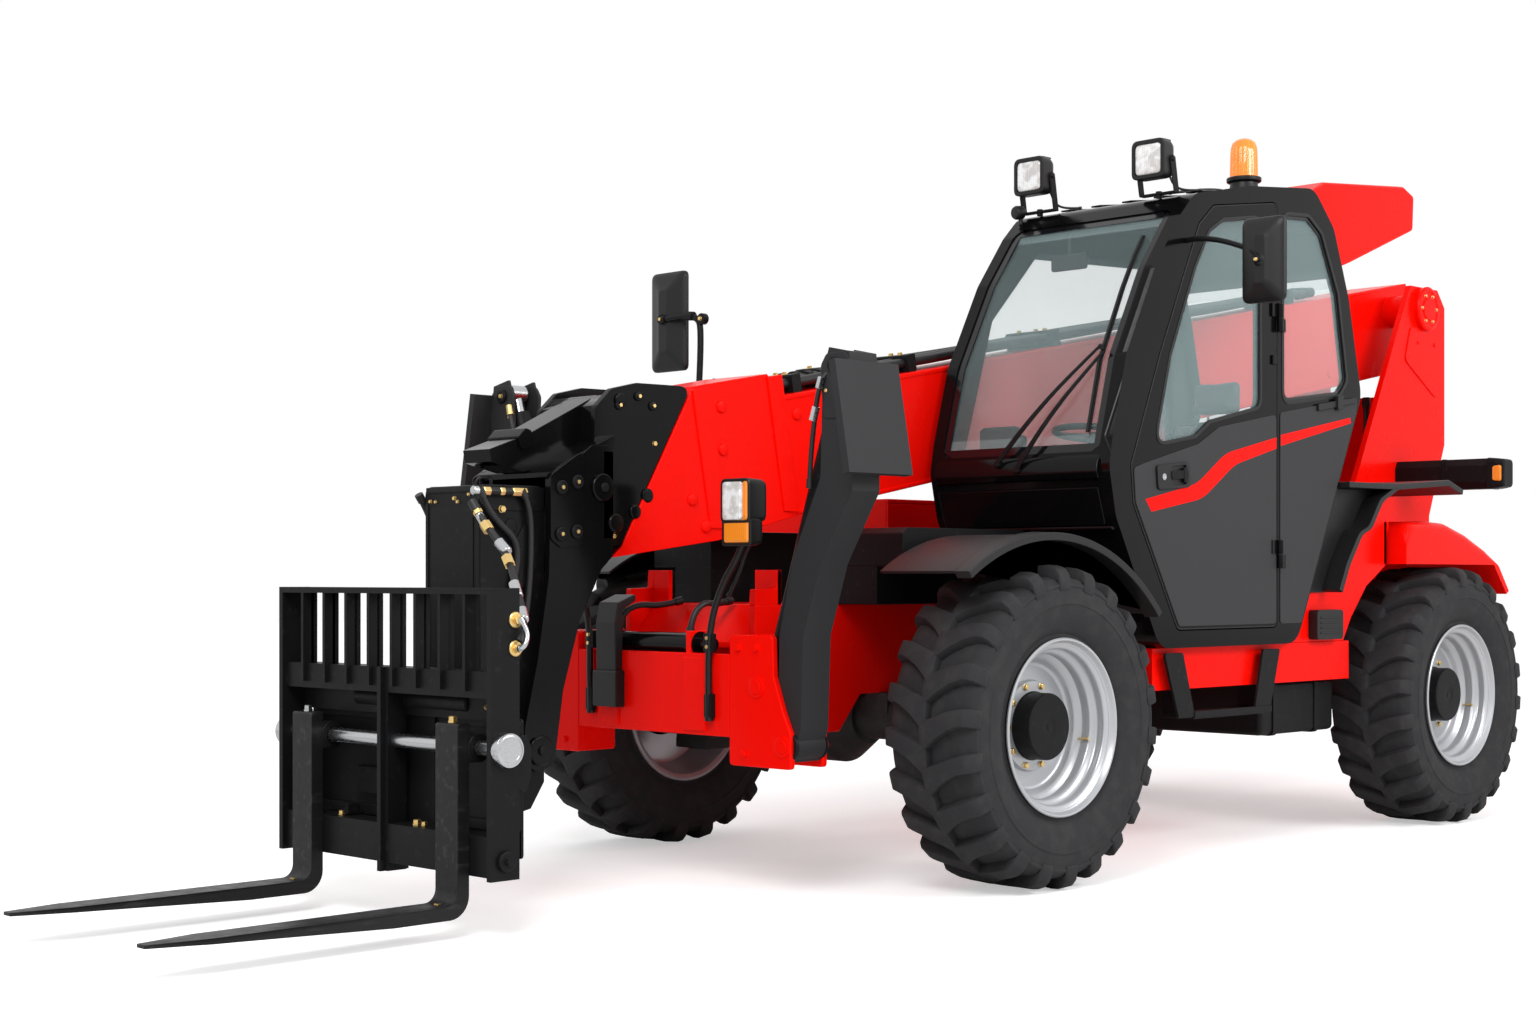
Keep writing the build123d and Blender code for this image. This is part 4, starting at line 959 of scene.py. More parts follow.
def make_cab_glass():
    glass = bmesh.new()
    for window, front in ((SCREEN, True), (BACK_WINDOW, False)):
        pane = bmesh.new()
        add_curved_pane(pane, 10, 7, window[0], window[1], window[2] + 8, window[3] + 8, 50, front)
        glass.from_mesh(as_mesh("pane", pane))
    add_slab(glass, inset(RIGHT_WINDOW, -8), "y", CAB_RIGHT + 10, CAB_RIGHT + 17, 50, 6)
    add_slab(glass, inset(REAR_WINDOW, -8), "y", CAB_LEFT - 17, CAB_LEFT - 10, 65, 6)
    make("cab_panes", glass, GLASS, replaces=["cab_glass"])
    make("glass_borders", [
        (add_pane_border, 6, 4, SCREEN[0], SCREEN[1], SCREEN[2] + 6, SCREEN[3] + 6, 60, 38, True),
        (add_pane_border, 6, 4, BACK_WINDOW[0], BACK_WINDOW[1], BACK_WINDOW[2] + 6, BACK_WINDOW[3] + 6,
         60, 30, False),
        (add_frame, inset(REAR_WINDOW, -4), 64, 28, "y", CAB_LEFT - 10, CAB_LEFT - 4),
        (add_frame, inset(RIGHT_WINDOW, -4), 49, 28, "y", CAB_RIGHT + 4, CAB_RIGHT + 10)], BORDER)


def make_door():
    frame_piece = slab_of(DOOR_SIDE, "y", CAB_LEFT - WALL, CAB_LEFT, 36, 6)
    sharp = [e for e in frame_piece.edges if min(v.co.y for v in e.verts) > (CAB_LEFT - 1) * MM]
    bmesh.ops.bevel(frame_piece, geom=sharp, offset=5 * MM, segments=3, profile=0.5, affect="EDGES",
                    clamp_overlap=True)
    frame_piece = carve(frame_piece, slab_of(DOOR_WINDOW, "y", 1000, 1200, 55, 6))
    add_hinges(frame_piece, 1)
    make("door_frame", frame_piece, BLACK, body="door", replaces=["cab_door"])
    glass = slab_of(inset(DOOR_WINDOW, -8), "y", CAB_LEFT - 17, CAB_LEFT - 10, 62, 6)
    make("door_pane", glass, GLASS, body="door", replaces=["door_glass"])
    make("door_glass_seal", [
        (add_frame, inset(DOOR_WINDOW, -5), 60, 15, "y", CAB_LEFT - 10, CAB_LEFT + 3)], PLASTIC, 2,
         body="door")
    skin = bmesh.new()
    panel = [(-1590, 956), (-870, 956), (-574, 1443), (-561, 1578), (-628, 1598), (-1005, 1690),
             (-1158, 1766), (-1590, 1840)]
    add_slab(skin, panel, "y", CAB_LEFT - 2, CAB_LEFT + 4, 24, 5)
    make("door_skin", skin, GREY, 2.4, 3, body="door")
    stripe = bmesh.new()
    upper = [(-636, 1458), (-991, 1528), (-1203, 1661), (-1589, 1743)]
    lower = [(-1589, 1696), (-1269, 1616), (-1034, 1470), (-676, 1410)]
    band = []
    for line in (upper, lower):
        band += [line[0], *corner_arc(*line[:3], 300, 9), *corner_arc(*line[1:], 300, 9), line[3]]
    add_slab(stripe, band, "y", CAB_LEFT + 3.4, CAB_LEFT + 4.7)
    make("door_stripe", stripe, RED, body="door")
    make("door_edge_seal", [
        (add_frame, inset(DOOR_SIDE, -1), 37, 5, "y", CAB_LEFT - 6, CAB_LEFT + 1.5)], PLASTIC, 1.2,
         body="door")
    handle = bmesh.new()
    plate = [(-702, 1592), (-926, 1614), (-932, 1512), (-712, 1498)]
    add_slab(handle, plate, "y", CAB_LEFT + 3, CAB_LEFT + 14, 16, 6)
    dish = slab_of([(-800, 1592), (-905, 1602), (-908, 1524), (-806, 1516)], "y", CAB_LEFT + 5,
                   CAB_LEFT + 40, 12, 5)
    handle = carve(handle, dish)
    make("door_handle_bezel", handle, PLASTIC, 2, body="door")
    make("door_handle_grip", [
        (add_slab, [(-796, 1572), (-915, 1583), (-918, 1548), (-800, 1540)], "y", CAB_LEFT + 6,
         CAB_LEFT + 18, 8, 4),
        (add_slab, [(-880, 1590), (-905, 1592), (-908, 1530), (-884, 1530)], "y", CAB_LEFT + 8,
         CAB_LEFT + 20, 8, 4)], SATIN, 3, 3, body="door")
    fasten("door_key_barrel", DISC, [((-748, CAB_LEFT + 14, 1549), (0, 1, 0), 27)], STEEL, "door")
    make("door_stay_plate", [
        (add_block, -1590, -1556, CAB_LEFT, CAB_LEFT + 10, 2050, 2090)], SATIN, 3, body="door")


def make_cab_trim():
    make("rear_quarter_skin", [
        (add_slab, [(-1622, 956), (-1790, 956), (-2250, 1880), (-2262, 1950), (-1622, 1850)], "y",
         CAB_LEFT - 2, CAB_LEFT + 4, 20, 5)], GREY, 2.4, 3)
    make("rear_quarter_stripe", [
        (add_slab, [(-1624, 1755), (-2196, 1858), (-2202, 1834), (-1624, 1709)], "y", CAB_LEFT + 3.4,
         CAB_LEFT + 4.7)], RED)
    make("rear_window_seal", [
        (add_frame, inset(REAR_WINDOW, -5), 65, 16, "y", CAB_LEFT - 10, CAB_LEFT + 3)], PLASTIC, 2)
    make("rear_window_latch", [
        (add_slab, [(-1912, 1902), (-2236, 1950), (-2238, 1925), (-1912, 1872)], "y", CAB_LEFT + 3,
         CAB_LEFT + 16, 8, 4),
        (add_slab, [(-2060, 1945), (-2110, 1952), (-2108, 1890), (-2060, 1885)], "y", CAB_LEFT + 3,
         CAB_LEFT + 24, 8, 4)], PLASTIC, 3)
    cowl = bmesh.new()
    lip = [(side_at(0, 1636, True) - 6, 1636), (side_at(0, 1612, True) + 14, 1606),
           (side_at(0, 1560, True) + 22, 1560), (side_at(0, 1540, True) + 12, 1534),
           (side_at(0, 1530, True) - 10, 1528)]
    add_slab(cowl, lip, "y", 236, 1052)
    add_slab(cowl, [(-412, 1500), (-402, 1500), (-452, 1352), (-470, 1352)], "y", 240, 1045)
    add_block(cowl, -470, -440, 210, 1085, 1336, 1350)
    make("cowl_lip", cowl, BLACK, 5, 3)
    roof = bmesh.new()
    for y in (330, 490, 650, 810, 970):
        add_slab(roof, [(-1150, 2737), (-1830, 2826), (-1830, 2838), (-1150, 2745)], "y", y - 26,
                 y + 26)
    make("roof_ribs", roof, BLACK, 6)
    make("roof_corner_lamp", [
        (add_turned, [(0, 0), (26, 0), (30, 6), (30, 34), (24, 44), (0, 46)], (-968, 236, 2722),
         (1, -0.2, -0.1), 28),
        (add_rod, (-956, 238, 2668), (-956, 236, 2716), 9)], PLASTIC, 1.5)


def blade_place(y, z, proud):
    return (side_at(0, z, True) + proud, y, z)


def make_wipers():
    arms, blades = bmesh.new(), bmesh.new()
    for y, z, tip_y, tip_z in ((566, 1606, 975, 2062), (664, 1578, 1003, 2040)):
        add_turned(arms, [(0, -14), (17, -14), (17, 6), (13, 12), (0, 13)],
                   (side_at(0, z, True) + 16, y, z), (1, 0, 0.2), 20)
        x0 = side_at(0, z, True) + 24
        steps = 14
        rings = []
        for i in range(steps + 1):
            t = i / steps
            v, u = z + (tip_z - z) * t, y + (tip_y - y) * t
            x = (1 - t) * x0 + t * (side_at(0, tip_z, True) + 16) + 34 * math.sin(math.pi * t)
            half = 9 - 4.5 * t
            rings.append([arms.verts.new(spot(x + dx, u + du * half, v - du * half * 0.7))
                          for dx, du in ((-3, -1), (5, -1), (5, 1), (-3, 1))])
        fill_stack(arms, rings)
    route = [(984, 1715), (985, 1850), (985, 2000), (985, 2150), (980, 2300), (974, 2440), (969, 2525)]
    rings, back = [], []
    for y, z in route:
        x = side_at(0, z, True)
        rings.append([blades.verts.new(spot(x + dx, y + dy, z))
                      for dx, dy in ((-6, -3), (2, -7), (10, -7), (10, 7), (2, 7), (-6, 3))])
        thick = 5 + 5 * math.sin(math.pi * (z - 1715) / 810)
        back.append([blades.verts.new(spot(x + 11 + dx * thick, y + dy, z))
                     for dx, dy in ((0, -5), (1, -5), (1, 5), (0, 5))])
    fill_stack(blades, rings)
    fill_stack(blades, back)
    make("wiper_arms", arms, SATIN, 1.2, 1)
    make("wiper_blade", blades, PLASTIC, 0.8, 1)
    make("wiper_link", [
        (add_rod, blade_place(975, 2062, 24), blade_place(1003, 2040, 24), 7),
        (add_rod, blade_place(986, 2052, 8), blade_place(986, 2052, 28), 9)], SATIN, 1, 1)


make_cab()
make_cab_glass()
make_door()
make_cab_trim()
make_wipers()


# --------------------------------------------------------------- fenders and guards
def make_fenders():
    make("front_fender_sheets", [
        (add_arc_band, (520, 1165), (60, 1300), (-600, 1010), 12, 750, 1180)], PLASTIC, 3,
         replaces=["front_fenders"], mirror=True)
    make("front_fender_lips", [
        (add_arc_band, (529, 1148), (60, 1288), (-608, 996), 30, 1118, 1188),
        (add_arc_band, (519, 1176), (58, 1312), (-600, 1020), 8, 1106, 1122)], PLASTIC, 7, 3,
         mirror=True)
    make("deck_boxes", [
        (add_block, -440, -400, 345, 760, 1168, 1192),
        (add_block, -440, -400, 330, 360, 1050, 1192),
        (add_block, -400, 330, 345, 560, 1049, 1195),
        (add_slab, [(-400, 1189), (330, 1189), (330, 1318), (300, 1340), (-400, 1340)], "y", 345, 690,
         12, 3)], SATIN, 8, 3, mirror=True)
    skin = [(455, 1212), (455, 1405), (219, 1412), (57, 1405), (-135, 1358), (-318, 1290), (-450, 1205),
            (-555, 1085), (-530, 1070), (-420, 1190), (-400, 1212)]
    axle_x = wheel_place("rl")[0]
    for tag, side in SIDES:
        dome = bmesh.new()
        run = [(axle_x + dx, z) for dx, z in smooth_run(skin[:8], 5) + skin[8:]]
        add_cushioned(dome, lambda drop: [(x, z - drop * min(1.0, max(0.0, (z - 1212) / 100)))
                                          for x, z in run], [(360, 0), (900, 0), (1100, 0), (1114, 2),
                (1127, 7), (1138, 15), (1146, 26), (1150, 44), (1150, 70)], "y")
        add_slab(dome, [(-1785, 871), (-2229, 871), (-2298, 973), (-2432, 1112), (-2615, 1212),
                        (-2615, 1545), (-2104, 1545)], "y", 1030, 1050, 8, 2)
        add_block(dome, axle_x + 435, axle_x + 475, 360, 1050, 1212, 1405)
        trim_side(dome, side)
        make("rear_dome_" + tag, dome, RED, replaces=["rear_fenders"] if side > 0 else [])
        guard = bmesh.new()
        lip_line = [(-2548, 1548), (-2408, 1490), (-2308, 1364), (-2229, 1341), (-2120, 1203),
                    (-2056, 1085)]
        smooth = smooth_run(lip_line, 3)
        add_slab(guard, [(-2112, 1546), (-2112, 1571), (-2548, 1575), (-3022, 1607), (-3161, 1566),
                         (-3155, 1541), (-3022, 1580), (-2548, 1548)], "y", 330, 1150)
        add_slab(guard, [(-1885, 1085), (-2112, 1546)] + smooth, "y", 1050, 1062)
        add_slab(guard, smooth + [(x + 26, z + 13) for x, z in reversed(smooth)], "y", 1061, 1150)
        add_block(guard, -3170, -3130, 330, 360, 1100, 1560)
        trim_side(guard, side)
        make("guard_" + tag, guard, PLASTIC, 4, 3, replaces=["rear_guards"] if side > 0 else [])
    box = bmesh.new()
    add_slab(box, round_box(-2046, 945, 110, 65, 22), "y", 1048, 1095)
    for i in range(4):
        add_block(box, -2130, -1962, 1094, 1099, 906 + i * 22, 914 + i * 22)
    make("side_marker_box", box, PLASTIC, 4)


def smooth_run(points, steps):
    """An open line with its inner corners taken off."""
    out = [points[0]]
    for before, corner, after in zip(points, points[1:], points[2:]):
        out += corner_arc(before, corner, after, 90, steps)
    return out + [points[-1]]


def trim_side(bm, side):
    """Put a left-hand shape on its side; the right one stops behind the hood."""
    if side > 0:
        return
    for vert in bm.verts:
        vert.co.y = -vert.co.y
    bmesh.ops.recalc_face_normals(bm, faces=bm.faces[:])
    cut = bmesh.ops.bisect_plane(bm, geom=bm.verts[:] + bm.edges[:] + bm.faces[:],
                                 plane_co=spot(-2316, 0, 0), plane_no=(1, 0, 0), clear_outer=True)
    edges = [item for item in cut["geom_cut"] if isinstance(item, bmesh.types.BMEdge)]
    bmesh.ops.holes_fill(bm, edges=edges)


make_fenders()


# ------------------------------------------------------------------ boom and head
BOOM_PIN = (-4270, 2585)               # x, z of the boom's pivot
BOOM_LEAN = math.radians(10.5)
BOOM_FLANK = 168                       # half the width of the outer stage
HITCH_PIN = (1680, 556)                # x, z of what the hitch turns on
TILT_PIN = (1400, 1470)
NECK_FACE = 216                        # outer side of the head's neck plates


def on_boom(s, t):
    """x, z of a place s along and t above the boom's line, as parked."""
    return (BOOM_PIN[0] + s * math.cos(BOOM_LEAN) + t * math.sin(BOOM_LEAN),
            BOOM_PIN[1] - s * math.sin(BOOM_LEAN) + t * math.cos(BOOM_LEAN))


def make_head():
    head = bmesh.new()
    cheek = [(918, 1860), (1190, 1857), (1310, 1830), (1385, 1760), (1405, 1340), (1345, 1262),
             (1268, 1265)]
    add_slab(head, cheek, "y", 140, 165, 34, 5)
    neck = [(1345, 1620), (1443, 1620), (1504, 1575), (1600, 1535), (1637, 1500), (1637, 1240),
            (1640, 1150), (1690, 860), (1745, 640), (1750, 520), (1690, 480), (1615, 505), (1575, 760),
            (1500, 1000), (1400, 1180), (1345, 1230)]
    add_slab(head, neck, "y", NECK_FACE - 24, NECK_FACE, 30, 5)
    add_block(head, 1345, 1390, 140, 216, 1290, 1600)
    add_slab(head, [(1490, 1600), (1637, 1508), (1637, 1285), (1590, 1255), (1500, 1262), (1488, 1290)],
             "y", 214, 223, 22, 5)
    mirror_in(head)
    add_slab(head, [(1150, 1822), (1313, 1808), (1380, 1765), (1380, 1640), (1345, 1600), (1150, 1690)],
             "y", -141, 141)
    add_slab(head, [(1300, 1812), (1620, 1655), (1640, 1665), (1665, 1640), (1790, 1596), (1780, 1552),
                    (1640, 1520), (1345, 1600), (1300, 1650)], "y", -75, 75)
    add_slab(head, [(1335, 1612), (1560, 1530), (1620, 1500), (1620, 1520), (1560, 1560), (1335, 1660)],
             "y", -214, 214)
    add_slab(head, [on_boom(5640, -248), on_boom(5640, 55), on_boom(5670, 55), on_boom(5670, -248)],
             "y", -140, 140)
    add_slab(head, [(1612, 1668), (1640, 1676), (1672, 1644), (1656, 1600), (1620, 1610)], "y", -88, 88,
             8, 3)
    for x, z in (HITCH_PIN, TILT_PIN):
        add_rod(head, (x, -NECK_FACE, z), (x, NECK_FACE, z), 32)
    for side in BOTH:
        for x, z, radius in ((*HITCH_PIN, 52), (*TILT_PIN, 50), (1340, 1345, 34)):
            add_turned(head, edged_disc(radius, 10, radius - 4, 14), (x, side * NECK_FACE, z),
                       (0, side, 0), 36)
        add_turned(head, plain_disc(50, 26), (1680, side * 167, 556), (0, side, 0), 36)
        for x, z in ((1140, 1450), (1270, 1790), (1200, 1390)):
            add_turned(head, edged_disc(26, 8, 22, 11), (x, side * 164, z), (0, side, 0), 28)
    make("head_weldment", head, BLACK, 3.2, body="boom_inner", replaces=["boom_head"])
    pins = bmesh.new()
    for side in BOTH:
        for x, z in ((1590, 1465), (1592, 1303), (1519, 1486), (1522, 1312)):
            add_turned(pins, [(0, 0), (25, 0), (25, 7), (21, 10), (18, 10), (17, 6), (12, 6), (11, 9),
                              (0, 9)], (x, side * 223, z), (0, side, 0), 28)
        for x, z in ((1276, 1771), (1184, 1808), (1114, 1777), HITCH_PIN, TILT_PIN):
            add_turned(pins, edged_disc(17, 8, 13, 11), (x, side * (164 if x < 1300 else 228), z),
                       (0, side, 0), 24)
    make("head_pins", pins, SATIN, 0.8, 1, body="boom_inner")
    gold = []
    for side in BOTH:
        for x, z in ((1590, 1465), (1592, 1303), (1519, 1486), (1522, 1312)):
            gold.append(((x, side * 230, z), (0, side, 0), 17))
        for x, z, size in ((1276, 1771, 18), (1184, 1808, 18), (1114, 1777, 18), (1103, 1640, 22),
                           (1300, 1300, 20)):
            gold.append(((x, side * (173 if z > 1700 else 164), z), (0, side, 0), size))
    fasten("head_bolts", HEX, gold, GOLD, "boom_inner")


def make_boom_details():
    plugs = bmesh.new()
    for side in BOTH:
        for s, t in ((5120, -20), (5100, 140), (5310, -180), (5260, -290), (4700, 60), (2500, -260),
                     (700, -250)):
            x, z = on_boom(s, t)
            add_turned(plugs, [(0, 0), (24, 0), (24, 7), (20, 11), (9, 12), (0, 12)],
                       (x, side * BOOM_FLANK, z), (0, side, 0), 28)
    make("boom_plugs", plugs, RED, 1, 1, body="boom_outer")
    seams = bmesh.new()
    for side in BOTH:
        for t0, t1 in ((-322, -308), (122, 136)):
            outline_points = [on_boom(-150, t0), on_boom(-150, t1), on_boom(4790, t1),
                              on_boom(4790, t0)]
            add_slab(seams, outline_points, "y", *span(side, BOOM_FLANK, BOOM_FLANK + 6))
    make("boom_seams", seams, RED, 2, body="boom_outer")
    collar = bmesh.new()
    for s0, s1, proud in ((4760, 4840, 10), (5150, 5240, 8)):
        for side in BOTH:
            add_slab(collar, [on_boom(s0, -318), on_boom(s0, 222), on_boom(s1, 222), on_boom(s1, -300)],
                     "y", *span(side, BOOM_FLANK, BOOM_FLANK + 2 + proud))
    make("boom_collars", collar, RED, 4, body="boom_outer")
    routes = []
    for y, radius in ((-110, 24), (-60, 20), (-15, 20), (35, 24), (85, 20)):
        places = []
        for i, s in enumerate((690, 1100, 1500, 2100, 2700, 3300, 3900, 4300, 4600, 4780)):
            x, z = on_boom(s, 180 + (4 if i % 2 else -3) * (1 if y > 0 else -1))
            places.append((x, y + (3 if i % 2 else -3), z))
        x, z = on_boom(4830, 196)
        places.append((x, y, z))
        routes.append((places, radius, 60))
    lay_hoses("boom_pipes", routes, HOSE, "boom_outer", ["boom_hoses"])
    clamps, heads = bmesh.new(), []
    for s in (900, 1900, 2900, 3900, 4300, 4600):
        add_slab(clamps, [on_boom(s, 138), on_boom(s, 213), on_boom(s + 50, 213), on_boom(s + 50, 138)],
                 "y", -146, 122, 8, 3)
        for y in (-86, 10, 60):
            x, z = on_boom(s + 25, 213)
            heads.append(((x, y, z), (math.sin(BOOM_LEAN), 0, math.cos(BOOM_LEAN)), 24))
    make("boom_pipe_clamps", clamps, SATIN, 3, body="boom_outer")
    fasten("boom_clamp_bolts", HEX, heads, GOLD, "boom_outer")
    bands = bmesh.new()
    for s in (4380, 4450, 4690):
        for y, radius in ((-110, 24), (35, 24)):
            x, z = on_boom(s, 181)
            x1, z1 = on_boom(s + 34, 181)
            add_rod(bands, (x, y, z), (x1, y, z1), radius + 7, 24)
    make("boom_pipe_collars", bands, SATIN, 3, body="boom_outer")


make_head()
make_boom_details()


# -------------------------------------------------------------- beam and chassis front
LEG_PIN = (690, 555)                   # y, z of what a stabiliser leg turns on


def make_beam():
    beam = bmesh.new()
    add_block(beam, 945, 970, -419, 419, 575, 875)
    add_block(beam, 780, 944, -419, 419, 576, 601)
    for x0, x1 in ((780, 805), (945, 970)):
        made = rounded([(420, 475), (728, 475), (728, 600), (690, 680), (645, 800), (640, 945),
                        (420, 945)], 16, 4)
        add_slab(beam, made, "x", x0, x1)
        add_slab(beam, [(-y, z) for y, z in made], "x", x0, x1)
    for side in BOTH:
        add_block(beam, 806, 944, *span(side, 421, 446), 476, 944)
        add_block(beam, 806, 944, *span(side, 447, 600), 924, 944)
        add_block(beam, 964, 978, *span(side, 180, 300), 590, 860)
    make("outrigger_beam", beam, RED, 5, 3, replaces=["front_beam"])
    plates = bmesh.new()
    for y in (-310, 170):
        add_slab(plates, [(y, 590), (y + 25, 590), (y + 25, 955), (y, 955)], "x", 850, 950, 4, 2)
    add_slab(plates, [(648, 1050), (780, 910), (780, 885), (625, 1040)], "y", -330, 330, 4, 2)
    for side in BOTH:
        add_slab(plates, [(640, 1049), (640, 1180), (660, 1180), (664, 1112), (776, 1108), (780, 1049)],
                 "y", *span(side, 330, 360), 6, 3)
        add_block(plates, 640, 660, *span(side, 240, 360), 1049, 1180)
    make("chassis_front_plates", plates, RED, 3)
    make("levelling_cylinder", [
        (add_turned, [(0, -312), (46, -312), (50, -306), (50, -276), (42, -270), (42, 150), (50, 156),
                      (50, 190), (46, 197), (0, 197)], (900, 0, 905), (0, 1, 0), 40),
        (add_turned, [(0, 197), (24, 197), (24, 268), (0, 268)], (900, 0, 905), (0, 1, 0), 28)], BLACK)
    bolts = [((970, side * y, z), (1, 0, 0), 30) for side in BOTH for y, z in ((500, 520), (560, 900),
            (470, 900))]
    fasten("beam_bolts", HEX, bolts, RED)
    pins = bmesh.new()
    for side in BOTH:
        for y, z in (LEG_PIN, (560, 760)):
            add_turned(pins, [(0, 774), (26, 774), (26, 976), (23, 980), (0, 980)], (0, side * y, z),
                       (1, 0, 0), 32)
            for x in (774, 970):
                add_turned(pins, edged_disc(38, 5, 34, 7), (x, side * y, z), (1, 0, 0), 32)
    make("beam_pins", pins, RED)
    lay_hoses("leveller_hoses", [([(900, -260, 950), (890, -262, 1010), (840, -220, 1050),
                                   (760, -180, 1040), (690, -150, 1060)], 12, 30),
                                 ([(900, 140, 950), (892, 142, 1010), (840, 150, 1060),
                                   (760, 140, 1050), (690, 130, 1062)], 12, 30)], HOSE)


make_beam()


# ---------------------------------------------------------------- seat and controls
CLOTH_FRAMES = 20         # steps of the cloth run
CLOTH_QUALITY = 4


def puff(name, bm, voxel, pressure, most, channels):
    """A cushion: remeshed, blown up as cloth, its movement capped, with sewn channels pressed in."""
    obj = loose(name, bm)
    remesh = obj.modifiers.new("even_mesh", "REMESH")
    remesh.mode = "VOXEL"
    remesh.voxel_size = voxel * MM
    mesh = final_mesh(obj)
    bpy.data.objects.remove(obj)
    obj = placed(name, mesh)
    start = [vert.co.copy() for vert in mesh.vertices]
    moved = start
    cloth = obj.modifiers.new("cushion_cloth", "CLOTH")
    cloth.settings.use_pressure = True
    cloth.settings.uniform_pressure_force = pressure
    cloth.settings.effector_weights.gravity = 0.0
    cloth.settings.quality = CLOTH_QUALITY
    for frame_number in range(1, CLOTH_FRAMES + 1):
        bpy.context.scene.frame_set(frame_number)
    moved = [vert.co.copy() for vert in final_mesh(obj).vertices]
    obj.modifiers.remove(cloth)
    bpy.context.scene.frame_set(1)
    for vert, before, after in zip(mesh.vertices, start, moved):
        shift = after - before
        if shift.length > most * MM:
            shift *= most * MM / shift.length
        vert.co = before + shift
    middle = sum((vert.co for vert in mesh.vertices), Vector()) / len(mesh.vertices)
    for vert in mesh.vertices:
        for normal, offset, depth, half in channels:
            away = abs((vert.co - middle).dot(Vector(normal)) - offset * MM) / (half * MM)
            if away < 3:
                vert.co -= vert.normal * depth * MM * math.exp(-away * away)
    finer = obj.modifiers.new("finer", "SUBSURF")
    finer.levels = finer.render_levels = 1
    shade(mesh, 180)
    settle(obj, SEAT, "machine")


